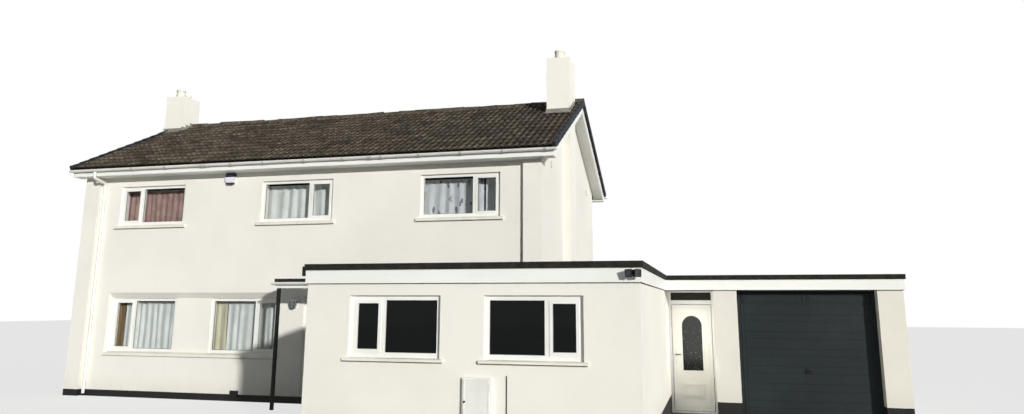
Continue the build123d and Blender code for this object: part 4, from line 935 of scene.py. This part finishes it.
# each window's rail under its head, and its cloths: the name's ending, the share of the rail,
# the folds, their depth and the cotton
HANGINGS = (
    ("upper_left", 70, (("", (0.0, 1.0), 13, 26, mauve_cloth),)),
    ("upper_middle", 70, (("", (0.0, 1.0), 8, 34, white_cloth),)),
    ("upper_right", 70, (("", (0.0, 0.72), 6, 26, printed_cloth),
                         ("_plain", (0.74, 1.0), 2, 18, white_cloth))),
    ("lower_left", 95, (("_edge", (0.0, 0.13), 2, 18, brown_cloth),
                        ("", (0.14, 1.0), 10, 28, white_cloth))),
    ("lower_right", 95, (("_edge", (0.0, 0.19), 2, 22, cream_cloth),
                         ("", (0.20, 1.0), 8, 28, white_cloth))),
)
for window, drop_head, cloths in HANGINGS:
    rail = curtain_rail("curtain_rail_" + window, window, drop_head)
    for ending, share, folds, deep, finish in cloths:
        curtain("curtain_" + window + ending, window, share, drop_head, folds, deep, finish)


def roof_level(y):
    """The height of the tiles' bed over a line along the house."""
    return RIDGE_TILE_Z - abs(RIDGE_Y - y) * PITCH_RISE


# chimney tops: mortar dished up to the pots, and lead where the stacks meet the tiles
for side, (xs, ys, top) in STACKS.items():
    bed = box("bed", (xs[0] + 22, ys[0] + 22, top), (xs[1] - 22, ys[1] - 22, top + 22))
    pick(bed, facing(0, 0, 1))
    centre = at((xs[0] + xs[1]) / 2, (ys[0] + ys[1]) / 2, top + 22)
    draw_in(0.62, 0.70, 1.0, centre)
    let_go()
    dress(soften(round_edges(bed, 0.010)), mortar_finish)
    bed.name = bed.data.name = "mortar_bed_" + side
    face, foot, front = ys[0] - 3, ys[0] - 170, roof_level(ys[0])
    leads = [
        plate("apron", [(xs[0] - 20, face, front - 30), (xs[1] + 20, face, front - 30),
                        (xs[1] + 20, face, front + 105), (xs[0] - 20, face, front + 105)]),
        plate("apron foot", [(xs[0] - 30, face, front + 36), (xs[1] + 30, face, front + 36),
                             (xs[1] + 30, foot, roof_level(foot) + 40),
                             (xs[0] - 30, foot, roof_level(foot) + 40)])]
    for x in (xs[0] - 3, xs[1] + 3):
        y = ys[0]
        while y < ys[1] - 20:
            following = min(y + 180, ys[1])
            upper = max(roof_level(y), roof_level(following)) + 60
            leads.append(plate("step", [
                (x, y - 10, roof_level(y) - 20), (x, following, roof_level(following) - 20),
                (x, following, upper), (x, y - 10, upper)]))
            y = following
    dress(join("lead_flashing_" + side, leads), lead_finish)

# gutter brackets and unions, pipe sockets and clips
GUTTERS, GUTTER_Z = (-344.0, 7144.0), 5232
BRACKETS = (1600, 2510, 3580, 4260, 5080, 6100, 7040, 7940, 8810, 9740, 10650, 11560)
UNIONS, UNION_SIZE = (3500, 7680), (1.9, 1.03, 1.03, 1.0)
PIPE_X, SOCKETS = 535, (4860, 2450)
PIPE_CLIPS = (4380, 3300, 2240, 1180, 330)
half_clip = thicken(open_tube(0.0650, 0.052, lambda z: z > 0.006), 0.004, 0.0)
clips = []
for y in GUTTERS:
    for x in BRACKETS:
        clips.append(again(half_clip, Matrix.Translation(at(x, y, GUTTER_Z))))
    for x in UNIONS:
        clips.append(again(half_clip, Matrix.Translation(at(x, y, GUTTER_Z))
                           @ Matrix.Diagonal(UNION_SIZE)))
drop(half_clip)
dress(soften(join("gutter_clips", clips)), clip_painted_shade_finish)

fixings = []
for pipe_y, wall_y in ((29.0, FACADE_Y), (6866.0, BACK_FACE_Y)):
    low, high = sorted((pipe_y, wall_y))
    back = (low, low + 9) if wall_y < pipe_y else (high - 9, high)
    for z in SOCKETS:
        fixings.append(upright("socket", PIPE_X, pipe_y, z, 45, 0.0395, 24))
    for z in PIPE_CLIPS:
        fixings.append(upright("clip", PIPE_X, pipe_y, z, 13, 0.0385, 24))
        fixings.append(box("clip back", (PIPE_X - 48, back[0], z - 13),
                           (PIPE_X + 48, back[1], z + 13)))
        fixings.append(box("clip arm", (PIPE_X - 18, low, z - 9), (PIPE_X + 18, high, z + 9)))
dress(soften(round_edges(join("pipe_fixings", fixings), 0.003)), white_pipe)


LEAF_LEFT, LEAF_RIGHT, LEAF_FACE = 15197.0, 17447.0, -350.0


def pressed(name, x, z, rim, proud, face=LEAF_FACE):
    """A pressed panel: a flat field that stands proud inside a sloping rim."""
    pressing = box(name, (x[0], face - 3, z[0]), (x[1], face + 2, z[1]))
    panel(pressing, rim / 1000.0, -proud / 1000.0)
    return round_edges(pressing, 0.0012, 2, 0.3)


# the garage door's pressed skin: a top row of two panels and a stile, and planks in two widths
skin = [pressed("rail", (LEAF_LEFT + 4, LEAF_RIGHT - 4), (2302, 2312), 2, 3)]
for x in ((LEAF_LEFT + 60, 16262), (16352, LEAF_RIGHT - 60)):
    skin.append(pressed("top panel", x, (2132, 2298), 12, 7))
    skin.append(pressed("top field", (x[0] + 38, x[1] - 38), (2156, 2272), 6, 3, LEAF_FACE - 9))
skin.append(pressed("stile", (16276, 16338), (2112, 2300), 6, 9))
PLANKS_TOP, PLANKS_FOOT, PLANK_KINDS = 2106.0, 84.0, ((182.0, 4), (118.0, 1))
line, number = PLANKS_TOP, 0
while line > 140:
    plank_height, proud = PLANK_KINDS[number % 2]
    following = max(line - plank_height, PLANKS_FOOT)
    skin.append(pressed("plank", (LEAF_LEFT + 62, LEAF_RIGHT - 62), (following + 3, line - 3),
                        4, proud))
    line, number = following, number + 1
for x in (LEAF_LEFT + 30, LEAF_RIGHT - 30):
    skin.append(pressed("side stile", (x - 24, x + 24), (PLANKS_FOOT, 2124), 6, 8))
dress(join("garage_door_skin", skin), grey_door, body="garage_leaf")
lift_plate = box("lift plate", (16262, LEAF_FACE - 14, 900), (16382, LEAF_FACE - 4, 1000))
dress(soften(round_edges(lift_plate, 0.004, 3)), black_finish, body="garage_leaf")
lift_plate.name = lift_plate.data.name = "garage_handle_plate"

# the side door's mouldings
DOOR_PLANE = 512.0
mouldings = []
for inset in (0, 30, 62):
    mouldings.append(border("moulding", (14098 + inset * 1.4, 14486 - inset * 1.4),
                            (318 + inset, 592 - inset), DOOR_PLANE, 11, 7))
mouldings.append(border("moulding", (13975, 14609), (160, 2040), DOOR_PLANE, 10, 5))
whole = round_edges(join("side_door_mouldings", mouldings), 0.0025, 2, 0.5)
dress(soften(whole), door_white, body="side_door_leaf")

# the meter box's door, hinges and latch
METER_FACE = -5481
meter_parts = [box("door", (11552, METER_FACE, 562), (11908, METER_FACE + 11, 1128))]
panel(meter_parts[0], 0.018, 0.004)
for z in (660, 1030):
    meter_parts.append(upright("hinge", 11912, METER_FACE + 2, z, 34, 0.007, 14))
dress(round_edges(join("meter_box_door", meter_parts), 0.003), white_pipe)
latch = rod("meter_box_latch", at(11572, METER_FACE - 13, 846), at(11572, METER_FACE + 5, 846),
            0.013, 20)
panel(latch, 0.004, 0.004)
dress(soften(latch), black_finish)

# the carriage lantern under the porch: a ribbed cage with panes, a cap and a finial
LANTERN_X, LANTERN_Y, CAGE_Z = 5840.0, -10.0, 2075
let_go()
bpy.ops.mesh.primitive_cone_add(
    vertices=4, radius1=0.036 * math.sqrt(2), radius2=0.065 * math.sqrt(2), depth=0.150,
    location=at(LANTERN_X, LANTERN_Y, CAGE_Z), rotation=(0, 0, math.pi / 4), end_fill_type="NGON")
cage = settle(bpy.context.object)
cage.data.materials.append(black_finish)
cage.data.materials.append(lantern_pane)
pick(cage, lambda face: abs(face.normal.z) < 0.6)
bpy.ops.mesh.inset(thickness=0.009, use_individual=True)
draw_in(0.965, 0.965, 1.0, at(LANTERN_X, LANTERN_Y, CAGE_Z))
cage.active_material_index = 1
bpy.ops.object.material_slot_assign()
let_go()
cap = box("cap", (LANTERN_X - 72, LANTERN_Y - 72, 2150), (LANTERN_X + 72, LANTERN_Y + 72, 2158))
pick(cap, facing(0, 0, 1))
for rise, share, level in ((0.042, 0.24, 2200), (0.014, 1.4, 2214)):
    push(0, 0, rise)
    draw_in(share, share, 1.0, at(LANTERN_X, LANTERN_Y, level))
let_go()
back = box("wall plate", (LANTERN_X - 43, FACADE_Y - 14, 2000), (LANTERN_X + 43, FACADE_Y, 2215))
panel(back, 0.010, -0.004)
arm = [rod("arm", at(LANTERN_X, 80, 2171), at(LANTERN_X, LANTERN_Y, 2171), 0.007, 14),
       rod("scroll", at(LANTERN_X, 80, 2030), at(LANTERN_X, LANTERN_Y + 30, 2012), 0.005, 12)]
lamp = join("carriage_lantern", [cage, cap, back] + arm)
soften(round_edges(lamp, 0.0015))
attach(lamp, "house")
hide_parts("wall_lantern")

# felt turned down the wing's left side, a dark strip under the fascia for its drip and as a painted
# shadow line, and small fixings
felt_side = box("felt_side_drip", (9098, -5424, 2468), (9172, -1030, 2604))
dress(soften(round_edges(felt_side, 0.008)), felt_finish)
DRIP_Z, DRIP_TOP = 2357, 2365
fascia_drip_shadows = [box("drip", (9176, -5436, DRIP_Z), (13878, -5418, DRIP_TOP)),
         box("drip", (13860, -5430, DRIP_Z), (13876, -634, DRIP_TOP)),
         box("drip", (13872, -634, DRIP_Z), (17930, -616, DRIP_TOP))]
dress(soften(round_edges(join("fascia_drip_and_shadow_line", fascia_drip_shadows), 0.0015, 1)), seal_finish)
cable = rod("wall_cable", at(12120, WING_FACE_Y - 7, 20), at(12120, WING_FACE_Y - 7, 1175),
            0.007, 10)
dress(soften(round_edges(cable, 0.002)), black_finish)
vent = box("plinth_vent", (4380, FACADE_Y - 55, 70), (4560, FACADE_Y, 226))
panel(vent, 0.016, 0.010)
dress(soften(round_edges(vent, 0.004)), black_finish)
ties = []
for y, z in ((950, 5130), (5720, 5170)):
    for name, depth, top in (("tie", 6, z + 75), ("tie foot", 28, z - 69)):
        ties.append(box(name, (GABLE_X, y - 16, z - 75), (GABLE_X + depth, y + 16, top)))
dress(soften(round_edges(join("gable_ties", ties), 0.002)), lead_finish)


def lamp_head(x, sideways):
    """A ribbed lamp head with its lens, made at the row's origin and then turned into place."""
    head = box("head", (MIDDLE_X - 46, MIDDLE_Y - 41, -52), (MIDDLE_X + 46, MIDDLE_Y + 41, 52))
    pick(head, facing(0, 1, 0))
    draw_in(0.7, 1.0, 0.7, (0, 0.041, 0))
    let_go()
    round_edges(head, 0.009, 3)
    head.data.materials.append(black_finish)
    head.data.materials.append(lens_finish)
    pick(head, facing(0, -1, 0))
    bpy.ops.mesh.inset(thickness=0.007)
    push(0, 0.006, 0)
    head.active_material_index = 1
    bpy.ops.object.material_slot_assign()
    let_go()
    fins = []
    for number in range(5):
        left = MIDDLE_X - 30 + number * 14
        fins.append(box("fin", (left, MIDDLE_Y + 28, -30), (left + 4, MIDDLE_Y + 48, 30)))
        fins[-1].data.materials.append(black_finish)
    whole = join("head", [head] + fins)
    whole.data.transform(Matrix.Translation(at(x, -5538, 2481))
                         @ Matrix.Rotation(sideways, 4, "Z")
                         @ Matrix.Rotation(math.radians(16), 4, "X"))
    return whole


# the twin floodlight: two heads on a wall box, with a movement sensor
BAR_Y = -5500
heads = [lamp_head(13742, math.radians(-14)), lamp_head(13846, math.radians(14))]
mount = box("wall box", (13755, -5480, 2455), (13835, -5440, 2520))
panel(mount, 0.008, -0.010)
bar = rod("bar", at(13748, BAR_Y, 2488), at(13842, BAR_Y, 2488), 0.010, 16)
sensor = rod("sensor", at(13795, BAR_Y, 2448), at(13795, -5470, 2466), 0.020, 20)
for part in (mount, bar, sensor):
    part.data.materials.append(black_finish)
lights = soften(join("twin_floodlight", heads + [mount, bar, sensor]))
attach(lights, "house")
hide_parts("floodlight")


low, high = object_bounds()
